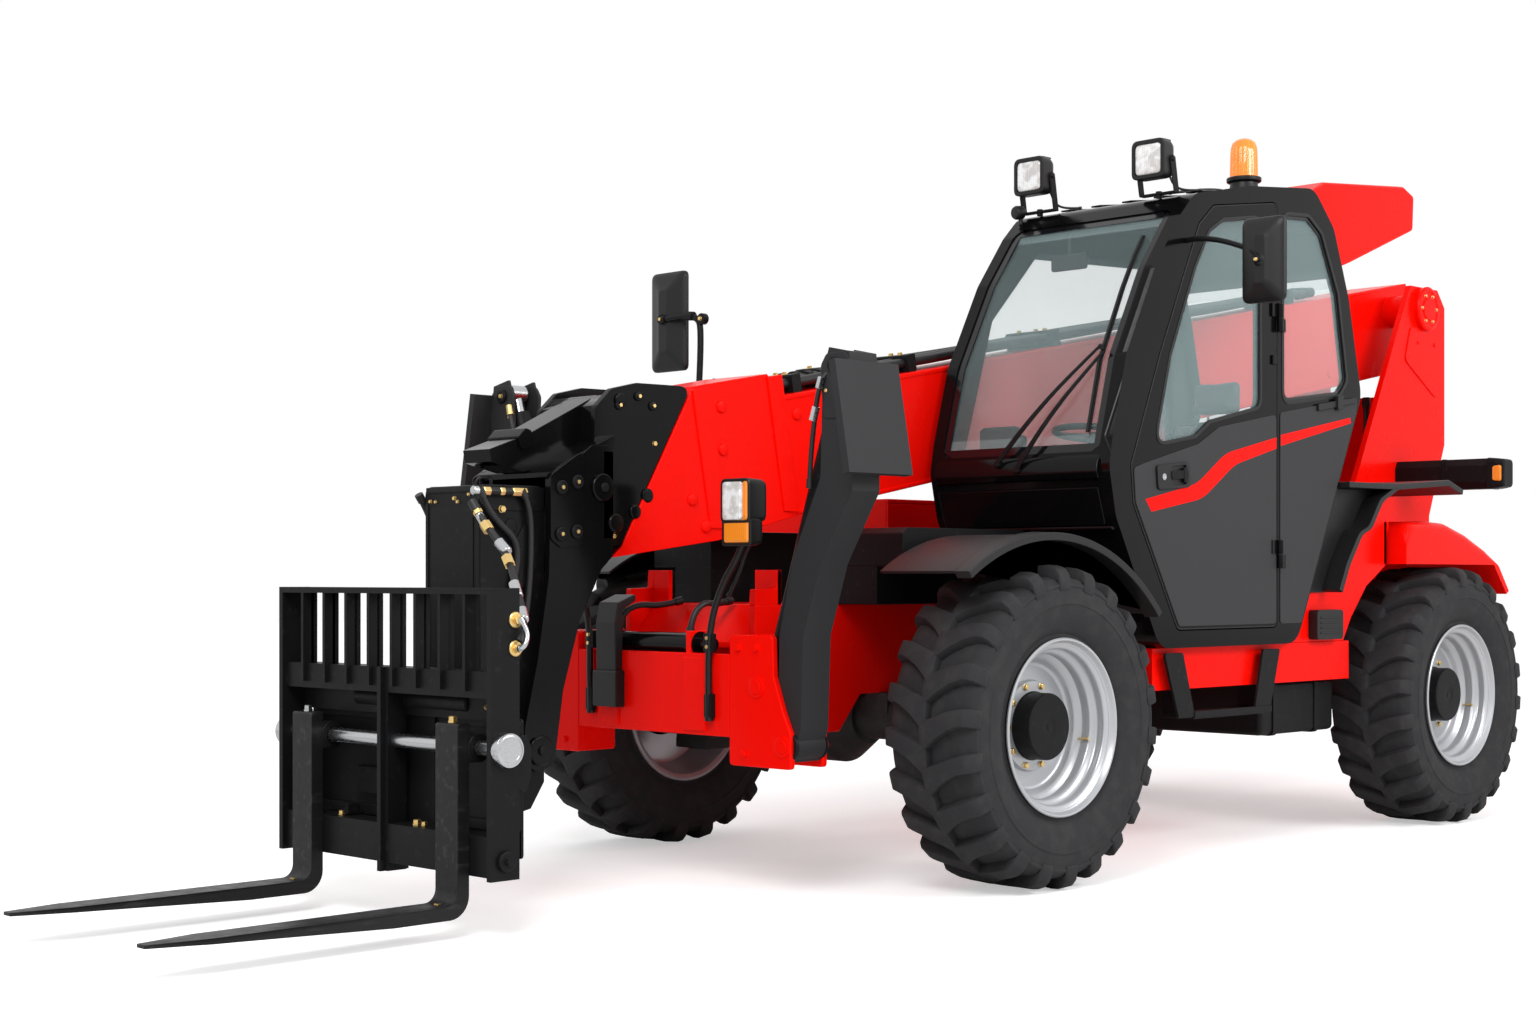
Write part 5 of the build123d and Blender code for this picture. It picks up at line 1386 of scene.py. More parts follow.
def make_seat():
    cushion = bmesh.new()
    add_slab(cushion, [(-1318, 1275), (-1300, 1325), (-1335, 1372), (-1500, 1378), (-1760, 1362),
                       (-1772, 1275)], "y", 436, 864, 26, 4)
    across_y = [((0, 1, 0), -118, 7, 9), ((0, 1, 0), 118, 7, 9), ((1, 0, 0), 20, 5, 8),
                ((1, 0, 0), 120, 5, 8)]
    puff("seat_cushion", cushion, 12, 5.0, 16, across_y)
    lean = Vector((-0.152, 0, 0.988))
    back = bmesh.new()
    add_slab(back, [(-1722, 1352), (-1756, 1560), (-1784, 1790), (-1812, 1850), (-1868, 1838),
                    (-1872, 1800), (-1838, 1352)], "y", 440, 860, 20, 4)
    ribs = [((0, 1, 0), -112, 7, 9), ((0, 1, 0), 112, 7, 9)] + [(tuple(lean), offset, 5, 8)
            for offset in (-110, 0, 110)]
    puff("seat_back", back, 12, 5.0, 16, ribs)
    rest = bmesh.new()
    add_slab(rest, [(-1797, 1880), (-1812, 2004), (-1840, 2020), (-1872, 2006), (-1866, 1880)], "y",
             545, 755, 14, 4)
    puff("headrest", rest, 9, 4.0, 10, [((0, 1, 0), 0, 3, 7)])
    for tag, y in (("right", 418), ("left", 882)):
        arm = bmesh.new()
        add_slab(arm, [(-1480, 1500), (-1480, 1534), (-1800, 1548), (-1800, 1505)], "y", y - 24, y + 24,
                 12, 3)
        puff("armrest_" + tag, arm, 9, 3.0, 6, [])
    shell = bmesh.new()
    add_slab(shell, [(-1775, 1300), (-1850, 1345), (-1885, 1800), (-1868, 1850), (-1900, 1850),
                     (-1925, 1800), (-1885, 1330), (-1800, 1262)], "y", 432, 868, 12, 3)
    add_slab(shell, [(-1325, 1245), (-1330, 1278), (-1800, 1290), (-1800, 1245)], "y", 428, 872, 10, 3)
    for y in (418, 882):
        add_slab(shell, [(-1800, 1495), (-1845, 1480), (-1850, 1520), (-1800, 1530)], "y", y - 8, y + 8,
                 6, 3)
    make("seat_shell", shell, PLASTIC, 5, replaces=["operator_seat"])
    posts = bmesh.new()
    for y in (600, 700):
        add_rod(posts, (-1845, y, 1820), (-1842, y, 1905), 6)
    make("headrest_posts", posts, STEEL)
    bellows = bmesh.new()
    stack = [(912, -8), (930, -8), (940, 6)]
    for i in range(7):
        z = 955 + i * 40
        stack += [(z, 26), (z + 14, 2), (z + 24, 2)]
    stack += [(1236, 10), (1248, 10)]
    add_cushioned(bellows, lambda grow: round_box(-1525, 650, 165 - grow, 190 - grow, 30), stack, "z")
    make("seat_bellows", bellows, PLASTIC)
    levers, knobs = [], bmesh.new()
    for x, y, z, dx, dy in ((-1400, 372, 1560, 30, -6), (-1460, 366, 1545, 14, 0),
                            (-720, 420, 1690, -70, -60)):
        levers.append(([(x - dx, y - dy, z - 170), (x - dx * 0.6, y - dy * 0.5, z - 90), (x, y, z)], 7,
                       16))
        add_turned(knobs, [(0, -14), (16, -12), (23, 6), (25, 30), (20, 48), (9, 56), (0, 57)],
                   (x, y, z), (dx * 0.2, 0, 60), 24)
    lay_hoses("control_levers", levers, SATIN)
    make("lever_knobs", knobs, PLASTIC)
    make("dashboard", [
        (add_slab, [(-500, 1350), (-470, 1560), (-520, 1606), (-700, 1600), (-790, 1560), (-800, 1500),
                    (-690, 1470), (-660, 1350)], "y", 262, 1040, 18, 4),
        (add_slab, [(-1330, 912), (-1330, 1395), (-1560, 1400), (-1560, 912)], "y", 248, 392, 18, 4),
        (add_slab, [(-640, 1590), (-600, 1625), (-600, 1760), (-625, 1776), (-655, 1770), (-665, 1600)],
         "y", 300, 470, 10, 3),
        (add_slab, [(-745, 1585), (-690, 1640), (-655, 1640), (-640, 1590)], "y", 560, 740, 12, 3)],
         PLASTIC, 5)
    make("monitor_face", [
        (add_slab, round_box(385, 1690, 70, 62, 10), "x", -668, -663)], BORDER, 1, 1)
    knob = bmesh.new()
    for i in range(8):
        add_turned(knob, edged_disc(11, 5, 8, 9), (-1380 - (i % 4) * 40, 285 + (i // 4) * 55, 1398),
                   (0, 0, 1), 14)
    make("console_knobs", knob, SATIN)
    make("roof_lining", [
        (add_slab, [(-1000, 2628), (-1384, 2722), (-1880, 2776), (-1985, 2690), (-1975, 2660),
                    (-1860, 2740), (-1384, 2690), (-1010, 2596)], "y", 246, 1054, 12, 3)], PLASTIC, 4)
    make("inside_mirror", [
        (add_slab, round_box(540, 2470, 90, 34, 14), "x", -905, -890),
        (add_rod, (-895, 540, 2490), (-905, 540, 2600), 6)], PLASTIC, 3)
    pedals = bmesh.new()
    for y in (520, 610, 700, 790):
        add_slab(pedals, [(-660, 940), (-700, 1010), (-712, 1004), (-672, 932)], "y", y - 30, y + 30, 4,
                 2)
        add_rod(pedals, (-670, y, 950), (-600, y, 1020), 9)
    make("pedals", pedals, SATIN, 2, 1)


make_seat()


# -------------------------------------------------------- hitch, carriage and forks
def make_hitch_details():
    handle = [([(1746, -30, 1455), (1746, -30, 1490), (1746, -24, 1499), (1746, 0, 1500),
                (1746, 24, 1499), (1746, 30, 1490), (1746, 30, 1455)], 6.5, 8)]
    lay_hoses("hitch_lifting_eye", handle, SATIN, "carriage")
    cap = bmesh.new()
    for side in BOTH:
        y0, y1 = span(side, 132, 158)
        add_slab(cap, [(1612, 1380), (1612, 1470), (1892, 1470), (1892, 1380)], "y", y0, y1, 34, 6)
    add_slab(cap, [(1660, 1440), (1660, 1468), (1888, 1468), (1896, 1440)], "y", -134, 134, 12, 5)
    make("hitch_cap", cap, SATIN, 5, 3, body="carriage")
    face = bmesh.new()
    add_slab(face, round_box(0, 1100, 118, 300, 12), "x", 1888, 1893)
    for side in BOTH:
        add_slab(face, round_box(side * 144, 1100, 8, 350, 6), "x", 1888, 1894)
    make("hitch_face_plate", face, SATIN, 2, body="carriage")
    bosses = bmesh.new()
    for side in BOTH:
        for x, z, radius in ((*HITCH_PIN, 58), (1720, 1150, 36), (1830, 1000, 26), (1760, 1330, 24)):
            add_turned(bosses, edged_disc(radius, 6, radius - 3, 9), (x, side * 154, z), (0, side, 0),
                       32)
        add_slab(bosses, [(1640, 1300), (1700, 1340), (1790, 1210), (1760, 1160), (1650, 1180)], "y",
                 *span(side, 153, 162), 16, 4)
    make("hitch_bosses", bosses, SATIN, 1.5, body="carriage")
    gold = [((1893, -122, 1416), (1, 0, 0), 15), ((1893, -92, 1414), (1, 0, 0), 13),
            ((1893, 16, 1424), (1, 0, 0), 17), ((1893, 34, 1412), (1, 0, 0), 14),
            ((1893, 96, 1436), (1, 0, 0), 13), ((1802, 160, 1386), (0, 1, 0), 28),
            ((1893, -100, 800), (1, 0, 0), 20), ((1893, 100, 800), (1, 0, 0), 20)]
    fasten("hitch_bolts", HEX, gold, GOLD, "carriage")
    fittings = {"gold": bmesh.new(), "black": bmesh.new(), "steel": bmesh.new()}
    for kind, x0, x1, radius in (("steel", 1936, 1912, 16), ("black", 1912, 1893, 14),
                                 ("gold", 1893, 1862, 16), ("black", 1862, 1822, 14),
                                 ("gold", 1822, 1800, 15), ("black", 1800, 1768, 14),
                                 ("gold", 1768, 1706, 16)):
        shell = fittings[kind]
        sides = 6 if kind == "gold" else 24
        add_turned(shell, [(0, 0), (radius - 3, 0), (radius, 3), (radius, x0 - x1 - 3),
                           (radius - 3, x0 - x1), (0, x0 - x1)], (x0, 172, 1446), (-1, 0, 0), sides)
    for x, y, z, direction, radius, length in ((1938, 185, 1393, (-0.1, 0.6, -0.8), 17, 34),
            (1932, 232, 1334, (0, 0.7, -0.7), 20, 36), (1940, 362, 1220, (0.2, 0.7, -0.7), 20, 40)):
        add_turned(fittings["gold"], plain_disc(radius, length), (x, y, z), direction, 6)
    for x, y, z, direction, radius, length in ((1935, 205, 1366, (-0.1, 0.6, -0.8), 15, 46),
            (1925, 300, 1272, (0, 0.8, -0.6), 19, 62), (1975, 445, 1135, (0.3, 0.7, -0.7), 19, 70),
            (2010, 530, 1050, (0.4, 0.7, -0.6), 17, 60)):
        add_turned(fittings["steel"], [(0, 0), (radius - 3, 0), (radius, 4), (radius, length - 4),
                                       (radius - 3, length), (0, length)], (x, y, z), direction, 20)
    for kind, finish in (("gold", GOLD), ("black", PLASTIC), ("steel", STEEL)):
        make("hitch_fittings_" + kind, fittings[kind], finish, 0.8, 1, body="carriage")
    lay_hoses("hitch_hoses", [([(1938, 185, 1393), (1934, 225, 1342), (1924, 300, 1272),
                                (1940, 380, 1200), (1975, 460, 1120), (2015, 540, 1040),
                                (2052, 590, 985), (2072, 600, 960)], 13, 40),
                              ([(1900, 172, 1438), (1870, 175, 1380), (1815, 175, 1330),
                                (1760, 175, 1290), (1740, 175, 1230), (1760, 170, 1120),
                                (1800, 166, 900), (1840, 160, 760)], 12, 30),
                              ([(1720, 176, 1440), (1690, 176, 1400), (1685, 176, 1250),
                                (1700, 176, 1050), (1740, 168, 860), (1800, 162, 760)], 11, 30),
                              ([(1900, -172, 1430), (1850, -175, 1360), (1800, -175, 1200),
                                (1800, -172, 1000), (1830, -162, 780)], 12, 30)], HOSE, "carriage")


FORK_Y = 415                           # from the middle of the carriage to that of a fork
TIP_X, TIP_SHARE = 3290, 0.37           # where a fork's tip starts and how narrow it gets
SHAFT = (2140, 606)                    # x, z of the shaft that the forks hang on


def make_carriage_details():
    bars = bmesh.new()
    add_block(bars, 2151, 2194, -7, 7, 790, 1101)
    pitch = (2 * 607 - 22) / 9
    for vert in bars.verts:
        vert.co.y += (11 - 607 + pitch) * MM
    repeat("grille_bars", bars, 8, (0, pitch, 0), SATIN, "carriage")
    plates = bmesh.new()
    add_block(plates, 2098, 2178, -24, 24, 170, 853)
    add_slab(plates, [(-300, 335), (-262, 335), (-262, 372), (-300, 372)], "x", 2090, 2140)
    for side in BOTH:
        add_turned(plates, edged_disc(34, 14, 30, 18), (2138, side * 605, 254), (0, side, 0), 32)
        add_slab(plates, [(2050, 470), (2081, 470), (2081, 650), (2050, 650), (2030, 610), (2030, 520)],
                 "y", *span(side, 585, 605), 14, 4)
    back = bmesh.new()
    for y0, y1 in ((-585, -14), (14, 585)):
        add_frame(back, [(y0, 332), (y1, 332), (y1, 700), (y0, 700)], 20, 34, "x", 2056, 2070)
    add_slab(back, [(-585, 250), (585, 250), (585, 700), (-585, 700)], "x", 2046, 2057, 14, 4)
    add_slab(back, round_box(-190, 452, 118, 46, 8), "x", 2057, 2075)
    add_slab(back, round_box(260, 600, 150, 18, 6), "x", 2057, 2078)
    add_turned(back, [(0, -330), (30, -330), (33, -326), (33, 300), (28, 306), (17, 308), (17, 470),
                      (0, 470)], (2082, 60, 742), (0, 1, 0), 32)
    make("carriage_back", back, SATIN, 2, body="carriage")
    make("carriage_plates", plates, SATIN, 2.5, body="carriage")
    discs = bmesh.new()
    for side in BOTH:
        add_turned(discs, [(0, 0), (56, 0), (56, 22), (53, 27), (46, 30), (40, 30), (38, 28), (0, 28)],
                   (SHAFT[0], side * 606, SHAFT[1]), (0, side, 0), 48)
    make("shaft_end_discs", discs, STEEL, body="carriage")
    steel = [((2140, side * 623, 254), (0, side, 0), 30) for side in BOTH]
    fasten("carriage_pin_nuts", HEX, steel, SATIN, "carriage")
    gold = [((2108, 502, 733), (0, -1, 0), 40), ((2100, 470, 735), (0, -1, 0), 26),
            ((2140, 140, 336), (0, 0, 1), 34), ((2140, 180, 336), (0, 0, 1), 24),
            ((2140, -298, 336), (0, 0, 1), 26)]
    fasten("carriage_fittings", HEX, gold, GOLD, "carriage")
    rings = bmesh.new()
    for y, z in ((612, 1018), (612, 927)):
        add_turned(rings, edged_disc(26, 6, 22, 10), (2100, y - 6, z), (0, 1, 0), 28)
        add_turned(rings, [(0, 10), (15, 10), (15, 22), (0, 22)], (2100, y - 6, z), (0, 1, 0), 6)
    make("carriage_unions", rings, GOLD, 0.8, 1, body="carriage")
    lay_hoses("carriage_hose", [([(2100, 626, 927), (2096, 648, 930), (2080, 646, 960),
                                  (2078, 636, 990), (2090, 626, 1016)], 9, 16)], STEEL, "carriage")
    for node, side in (("fork_left", 1), ("fork_right", -1)):
        eye = bmesh.new()
        for y in (side * FORK_Y - 64, side * FORK_Y + 52):
            add_turned(eye, [(27, 0), (44, 0), (46, 2), (46, 10), (44, 12), (27, 12)],
                       (SHAFT[0], y, SHAFT[1]), (0, 1, 0), 36)
        make(node + "_eye_rings", eye, SATIN, body=node)
        blade = bmesh.new()
        heel, throat, quarter = 74, 44, [math.pi / 2 * i / 8 for i in range(9)]
        outline = [(2179 + heel - heel * math.cos(a), 64 + heel - heel * math.sin(a)) for a in quarter]
        outline += [(2466, 64), (3100, 92), (3300, 97), (3300, 109), (3100, 109)]
        outline += [(2226 + throat - throat * math.sin(a), 109 + throat - throat * math.cos(a))
                    for a in quarter]
        outline += [(2226, 681), (2220, 687), (2179, 687)]
        low, high = span(side, FORK_Y - 60, FORK_Y + 60)
        add_slab(blade, outline, "y", low, high)
        for vert in blade.verts:
            if vert.co.x > spot(TIP_X, 0, 0).x:
                vert.co.y = side * FORK_Y * MM + (vert.co.y - side * FORK_Y * MM) * TIP_SHARE
        add_ring(blade, [(27, 0), (46, 0), (46, 120), (27, 120)], (SHAFT[0], low, SHAFT[1]), (0, 1, 0),
                 40)
        for z0, z1 in ((560, 578), (634, 652)):
            add_block(blade, 2141, 2184, low, high, z0, z1)
        make(node + "_blade", blade, FORK, 3, body=node, replaces=[node])
        fasten(node + "_top_bolt", HEX, [((2200, side * FORK_Y, 694), (0, 0, 1), 34)], STEEL if side < 0
               else GOLD, node)
        make(node + "_heel_plug", [
            (add_slab, round_box(2252, side * FORK_Y, 17, 11, 3), "z", 104, 113)], GOLD, 1, 1,
             body=node)


make_hitch_details()
make_carriage_details()


# ------------------------------------------------------------------ stabiliser legs
def make_leg_details():
    for tag, side in SIDES:
        body = "leg_" + tag
        ears, pins, gold = bmesh.new(), bmesh.new(), []
        for x0, x1 in ((801, 816), (934, 949)):
            ear = rounded([(1000, 1700), (1000, 1890), (965, 1932), (880, 1932), (852, 1890),
                           (862, 1700)], 34, 5)
            add_slab(ears, [(side * y, z) for y, z in ear], "x", x0, x1)
        for y, z, radius in ((920, 1886, 28), (*LEG_PIN, 58)):
            for x, out in ((945, 1), (805, -1)):
                lift = 4 if z > 1000 else 0
                add_turned(pins, [(0, 0), (radius, 0), (radius, 8), (radius - 3, 12), (radius - 12, 12),
                                  (radius - 13, 9), (0, 9)], (x + out * lift, side * y, z), (out, 0, 0),
                           32)
                gold.append(((x + out * (lift + 9), side * y, z), (out, 0, 0), 20))
        for y, z in ((690, 640), (706, 600), (880, 1800)):
            gold.append(((945, side * y, z), (1, 0, 0), 17))
        make(body + "_ears", ears, LEG, 5, 3, body=body)
        make(body + "_pins", pins, SATIN, body=body)
        fasten(body + "_bolts", HEX, gold, GOLD, body)
        hose = [([(925, side * 890, 1880), (955, side * 870, 1850), (962, side * 850, 1780),
                  (956, side * 832, 1700), (952, side * 812, 1600), (948, side * 800, 1480)], 9, 34)]
        lay_hoses(body + "_hose", hose, HOSE, body)
        unions = bmesh.new()
        for y, z, radius, length, sides in ((868, 1846, 14, 40, 6), (842, 1745, 15, 50, 6)):
            add_turned(unions, plain_disc(radius, length), (958, side * y, z), (0.05, -side * 0.3, -1),
                       sides)
        make(body + "_unions", unions, GOLD if side < 0 else STEEL, 1, 1, body=body)


make_leg_details()


# ------------------------------------------------------------- steps, hood and chassis
def make_step_details():
    stud = bmesh.new()
    add_turned(stud, [(0, 0), (7, 0), (6, 3.5), (3.5, 4), (3, 1), (0, 1)], (-1545, 948, 599), (0, 0, 1),
               10)
    repeat("step_studs", stud, 24, (24, 0, 0), SATIN, rows=6, row_step=(0, 24, 0))
    cheeks = bmesh.new()
    for top0, top1, foot0, foot1 in ((-915, -784, -1000, -885), (-1640, -1508, -1560, -1440)):
        add_slab(cheeks, [(top0, 850), (top1, 850), (foot1, 588), (foot0, 588)], "y", 1080, 1092, 14, 4)
    add_slab(cheeks, [(-1568, 585), (-1568, 612), (-992, 612), (-992, 585)], "y", 1084, 1096, 4, 2)
    make("step_cheeks", cheeks, SATIN, 2)


def make_hood_details():
    slats = bmesh.new()
    add_slab(slats, [(-1148, 1040), (-1158, 1036), (-1160, 1042), (-1148, 1058)], "x", -1400, -900)
    repeat("hood_louvres", slats, 9, (0, 0, 42), RED, "hood")
    make("hood_bezels", [
        (add_frame, [(-1430, 1010), (-870, 1010), (-870, 1430), (-1430, 1430)], 30, 24, "y", -1158,
         -1146),
        (add_frame, [(-2240, 1080), (-1560, 1080), (-1560, 1440), (-2240, 1440)], 40, 12, "y", -1155,
         -1146)], PLASTIC, 3, body="hood")
    mesh_bar = bmesh.new()
    add_block(mesh_bar, -1410, -1402, -1153, -1149, 1030, 1410)
    repeat("hood_grille_bars", mesh_bar, 23, (23, 0, 0), SATIN, "hood")
    make("hood_top_grille_plate", [
        (add_slab, [(-1330, -1000), (-900, -1000), (-900, -620), (-1330, -620)], "z", 1498, 1506, 24,
         4)], PLASTIC, 2, body="hood")
    slot = bmesh.new()
    add_block(slot, -1310, -1298, -980, -640, 1505, 1512)
    repeat("hood_top_slats", slot, 17, (24, 0, 0), SATIN, "hood")
    latch = bmesh.new()
    for x in (-2060, -1000):
        add_slab(latch, [(x - 45, 960), (x + 45, 960), (x + 45, 1000), (x - 45, 1000)], "y", -1164,
                 -1148, 12, 4)
        add_turned(latch, plain_disc(13, 6), (x, -1164, 980), (0, -1, 0), 20)
    make("hood_latches", latch, SATIN, 2.5, body="hood")


AXLE_Z = 600


def make_chassis_details():
    bolts = []
    for side in BOTH:
        for x in range(-4200, -3500, 130):
            bolts.append(((x, side * 360, 1130), (0, side, 0), 24))
        for x, z in ((-3990, 1240), (-3990, 1420), (-4240, 1240), (-4240, 1420), (-4200, 2400),
                     (-4380, 2400)):
            bolts.append(((x, side * 360, z), (0, side, 0), 26))
    fasten("tower_bolts", HEX, bolts, RED)
    pivot, keeper = bmesh.new(), []
    for side in BOTH:
        add_turned(pivot, [(0, 0), (118, 0), (118, 8), (108, 14), (92, 14), (90, 10), (62, 10),
                           (60, 16), (0, 16)], (BOOM_PIN[0], side * 380, BOOM_PIN[1]), (0, side, 0), 64)
        for i in range(6):
            a = math.pi / 3 * i
            keeper.append(((BOOM_PIN[0] + 76 * math.cos(a), side * 390, BOOM_PIN[1] + 76 * math.sin(a)),
                           (0, side, 0), 20))
    make("boom_pivot_caps", pivot, RED, 1.5)
    fasten("boom_pivot_bolts", HEX, keeper, GOLD)
    cover = bmesh.new()
    for side in BOTH:
        add_slab(cover, [(-3720, 1720), (-3560, 1560), (-3420, 1300), (-3600, 1200), (-3900, 1300),
                         (-3900, 1650)], "y", *span(side, 358, 366), 40, 5)
        add_slab(cover, [(-4420, 2480), (-4120, 2480), (-4060, 2300), (-4420, 2100)], "y",
                 *span(side, 358, 366), 40, 5)
    make("tower_doublers", cover, RED, 2.5)
    make("tow_plate", [
        (add_slab, round_box(0, 890, 260, 150, 24), "x", -4536, -4524),
        (add_slab, [(-4524, 700), (-4548, 720), (-4548, 980), (-4524, 1000)], "y", -300, -276, 4, 2),
        (add_slab, [(-4524, 700), (-4548, 720), (-4548, 980), (-4524, 1000)], "y", 276, 300, 4, 2)],
         SATIN, 3)
    make("tow_pin", [
        (add_turned, [(0, 740), (15, 742), (15.5, 905), (30, 906), (30, 914), (12, 918), (10, 950),
                      (0, 952)], (-4560, 0, 0), (0, 0, 1), 28),
        (add_ring, [(20, -3.5), (24, -3.5), (24, 3.5), (20, 3.5)], (-4560, 0, 968), (0, 1, 0), 32)],
         STEEL)
    weight = [((-4520, y, z), (-1, 0, 0), 42) for y in (-440, -340, 340, 440) for z in (760, 1010)]
    fasten("counterweight_bolts", HEX, weight, SATIN)
    tank = bmesh.new()
    for x in (-2130, -1790):
        add_slab(tank, [(394, 465), (986, 465), (986, 706), (394, 706)], "x", x, x + 34, 26, 5)
    add_turned(tank, [(0, 0), (36, 0), (40, 6), (40, 26), (34, 34), (0, 36)], (-2000, 900, 700),
               (0, 0, 1), 32)
    make("tank_straps", tank, SATIN, 2)
    lay_hoses("chassis_hoses", [([(-650, 120, 900), (-300, 130, 980), (0, 140, 1010), (320, 140, 1000),
                                  (560, 150, 900), (600, 160, 700)], 14, 40),
                                ([(-650, 60, 890), (-300, 66, 960), (0, 70, 990), (320, 76, 980),
                                  (560, 90, 880), (600, 96, 700)], 14, 40),
                                ([(-2380, 180, 900), (-2900, 190, 980), (-3400, 200, 1000),
                                  (-3800, 180, 1080), (-4050, 120, 1300), (-4160, 90, 1700),
                                  (-4200, 60, 2100)], 17, 50),
                                ([(-2380, -180, 900), (-2900, -190, 980), (-3400, -200, 1000),
                                  (-3800, -180, 1080), (-4050, -120, 1300), (-4160, -90, 1700),
                                  (-4200, -60, 2100)], 17, 50)], HOSE)
    for tag, axle_x, way in (("front", 0, -1), ("rear", wheel_place("rl")[0], 1)):
        steer = bmesh.new()
        x = axle_x + way * 150
        add_turned(steer, [(0, -250), (38, -250), (43, -244), (43, -205), (37, -200), (37, 200),
                           (43, 205), (43, 244), (38, 250), (0, 250)], (x, 0, AXLE_Z), (0, 1, 0), 40)
        for side in BOTH:
            add_turned(steer, [(0, 250), (18, 250), (18, 430), (0, 430)], (x, 0, AXLE_Z), (0, side, 0),
                       24)
            add_block(steer, *sorted((axle_x + way * 60, x)), *span(side, 120, 160), AXLE_Z - 30,
                      AXLE_Z + 30)
        make("steering_ram_" + tag, steer, IRON, 1, 1)
        cover_bolts = []
        for i in range(12):
            a = math.pi / 6 * i
            cover_bolts.append(((axle_x + way * -188, 150 * math.cos(a), AXLE_Z + 150 * math.sin(a)),
                                (-way, 0, 0), 20))
        fasten("axle_cover_bolts_" + tag, HEX, cover_bolts, IRON)
    for corner, which in CORNERS:
        x, y, z = wheel_place(corner)
        cap = bmesh.new()
        for up in (1, -1):
            add_turned(cap, [(0, 0), (52, 0), (52, 8), (46, 14), (20, 14), (18, 20), (0, 20)],
                       (x, which * 820, z + up * 138), (0, 0, up), 36)
        make("kingpin_caps_" + corner, cap, IRON, body="knuckle_" + corner)


make_step_details()
make_hood_details()
make_chassis_details()


# ---------------------------------------------------------- finishes of the CAD
SOFTENED = [  # node, finish, rounding in mm
    ("chassis_frame", RED, 4), ("boom_tower", RED, 6),
    ("rear_counterweight", RED, 14),
    ("side_platforms", RED, 3), ("fuel_tank", SATIN, 22),
    ("cab_step", SATIN, 2), ("axle_front", IRON, 8),
    ("axle_rear", IRON, 8),
    ("roof_cowl", RED, 14), ("steering_column", PLASTIC, 8),
    ("engine_block", IRON, 16),
    ("boom_outer", RED, 5), ("boom_mid", RED, 4),
    ("boom_inner", RED, 3),
    ("lift_barrel", SATIN, 3), ("tilt_barrel", SATIN, 3),
    ("hitch_frame", SATIN, 4), ("fork_carriage", SATIN, 2),
    ("engine_hood", RED, 12),
    ("leg_left", LEG, 5), ("leg_right", LEG, 5),
    ("leg_barrel_left", SATIN, 2), ("leg_barrel_right", SATIN, 2)]
for entry in SOFTENED:
    soften(*entry)

PAINTED = {"steering_wheel": PLASTIC, "fork_shaft": STEEL, "lift_rod": STEEL, "tilt_rod": STEEL,
           "leg_rod_left": STEEL, "leg_rod_right": STEEL, "knuckle_fl": IRON, "knuckle_fr": IRON,
           "knuckle_rl": IRON, "knuckle_rr": IRON}
for painted_node, paint in PAINTED.items():
    for material_slot in frame["nodes"][painted_node].material_slots:
        material_slot.material = paint


# ---------------------------------------------------------------- lamps and lenses
def lamp_housing(bm, x_back, x_face, y, z, half_y, half_z, radius, bezel, dish):
    """A deep housing with a rounded back, a bezel and a recess for its lens."""
    def ring(inset, corner):
        return round_box(y, z, half_y - inset, half_z - inset, max(4, radius - corner))
    add_cushioned(bm, ring, [(x_back, half_y * 0.34, 0), (x_back + 4, half_y * 0.22, 0),
                             (x_back + 14, half_y * 0.1, 0), (x_back + 34, 2, 0), (x_face - 14, 0, 0),
                             (x_face - 4, 0, 0), (x_face, 4, 2), (x_face, bezel, bezel),
                             (x_face - dish, bezel + 3, bezel)])


def lens_slab(bm, x_face, y0, y1, z0, z1, radius, crown=5.0):
    """A lens with a crowned face."""
    y, z = (y0 + y1) / 2, (z0 + z1) / 2
    half_y, half_z = (y1 - y0) / 2, (z1 - z0) / 2

    def ring(inset):
        return round_box(y, z, half_y - inset, half_z - inset, max(3, radius - inset))
    add_cushioned(bm, ring, [(x_face - 9, 0), (x_face - 1.5, 0), (x_face + crown * 0.5, 3),
                             (x_face + crown * 0.85, 9), (x_face + crown, 18)])


LAMP_Y = 515.0
LAMP_HALF = 75.0


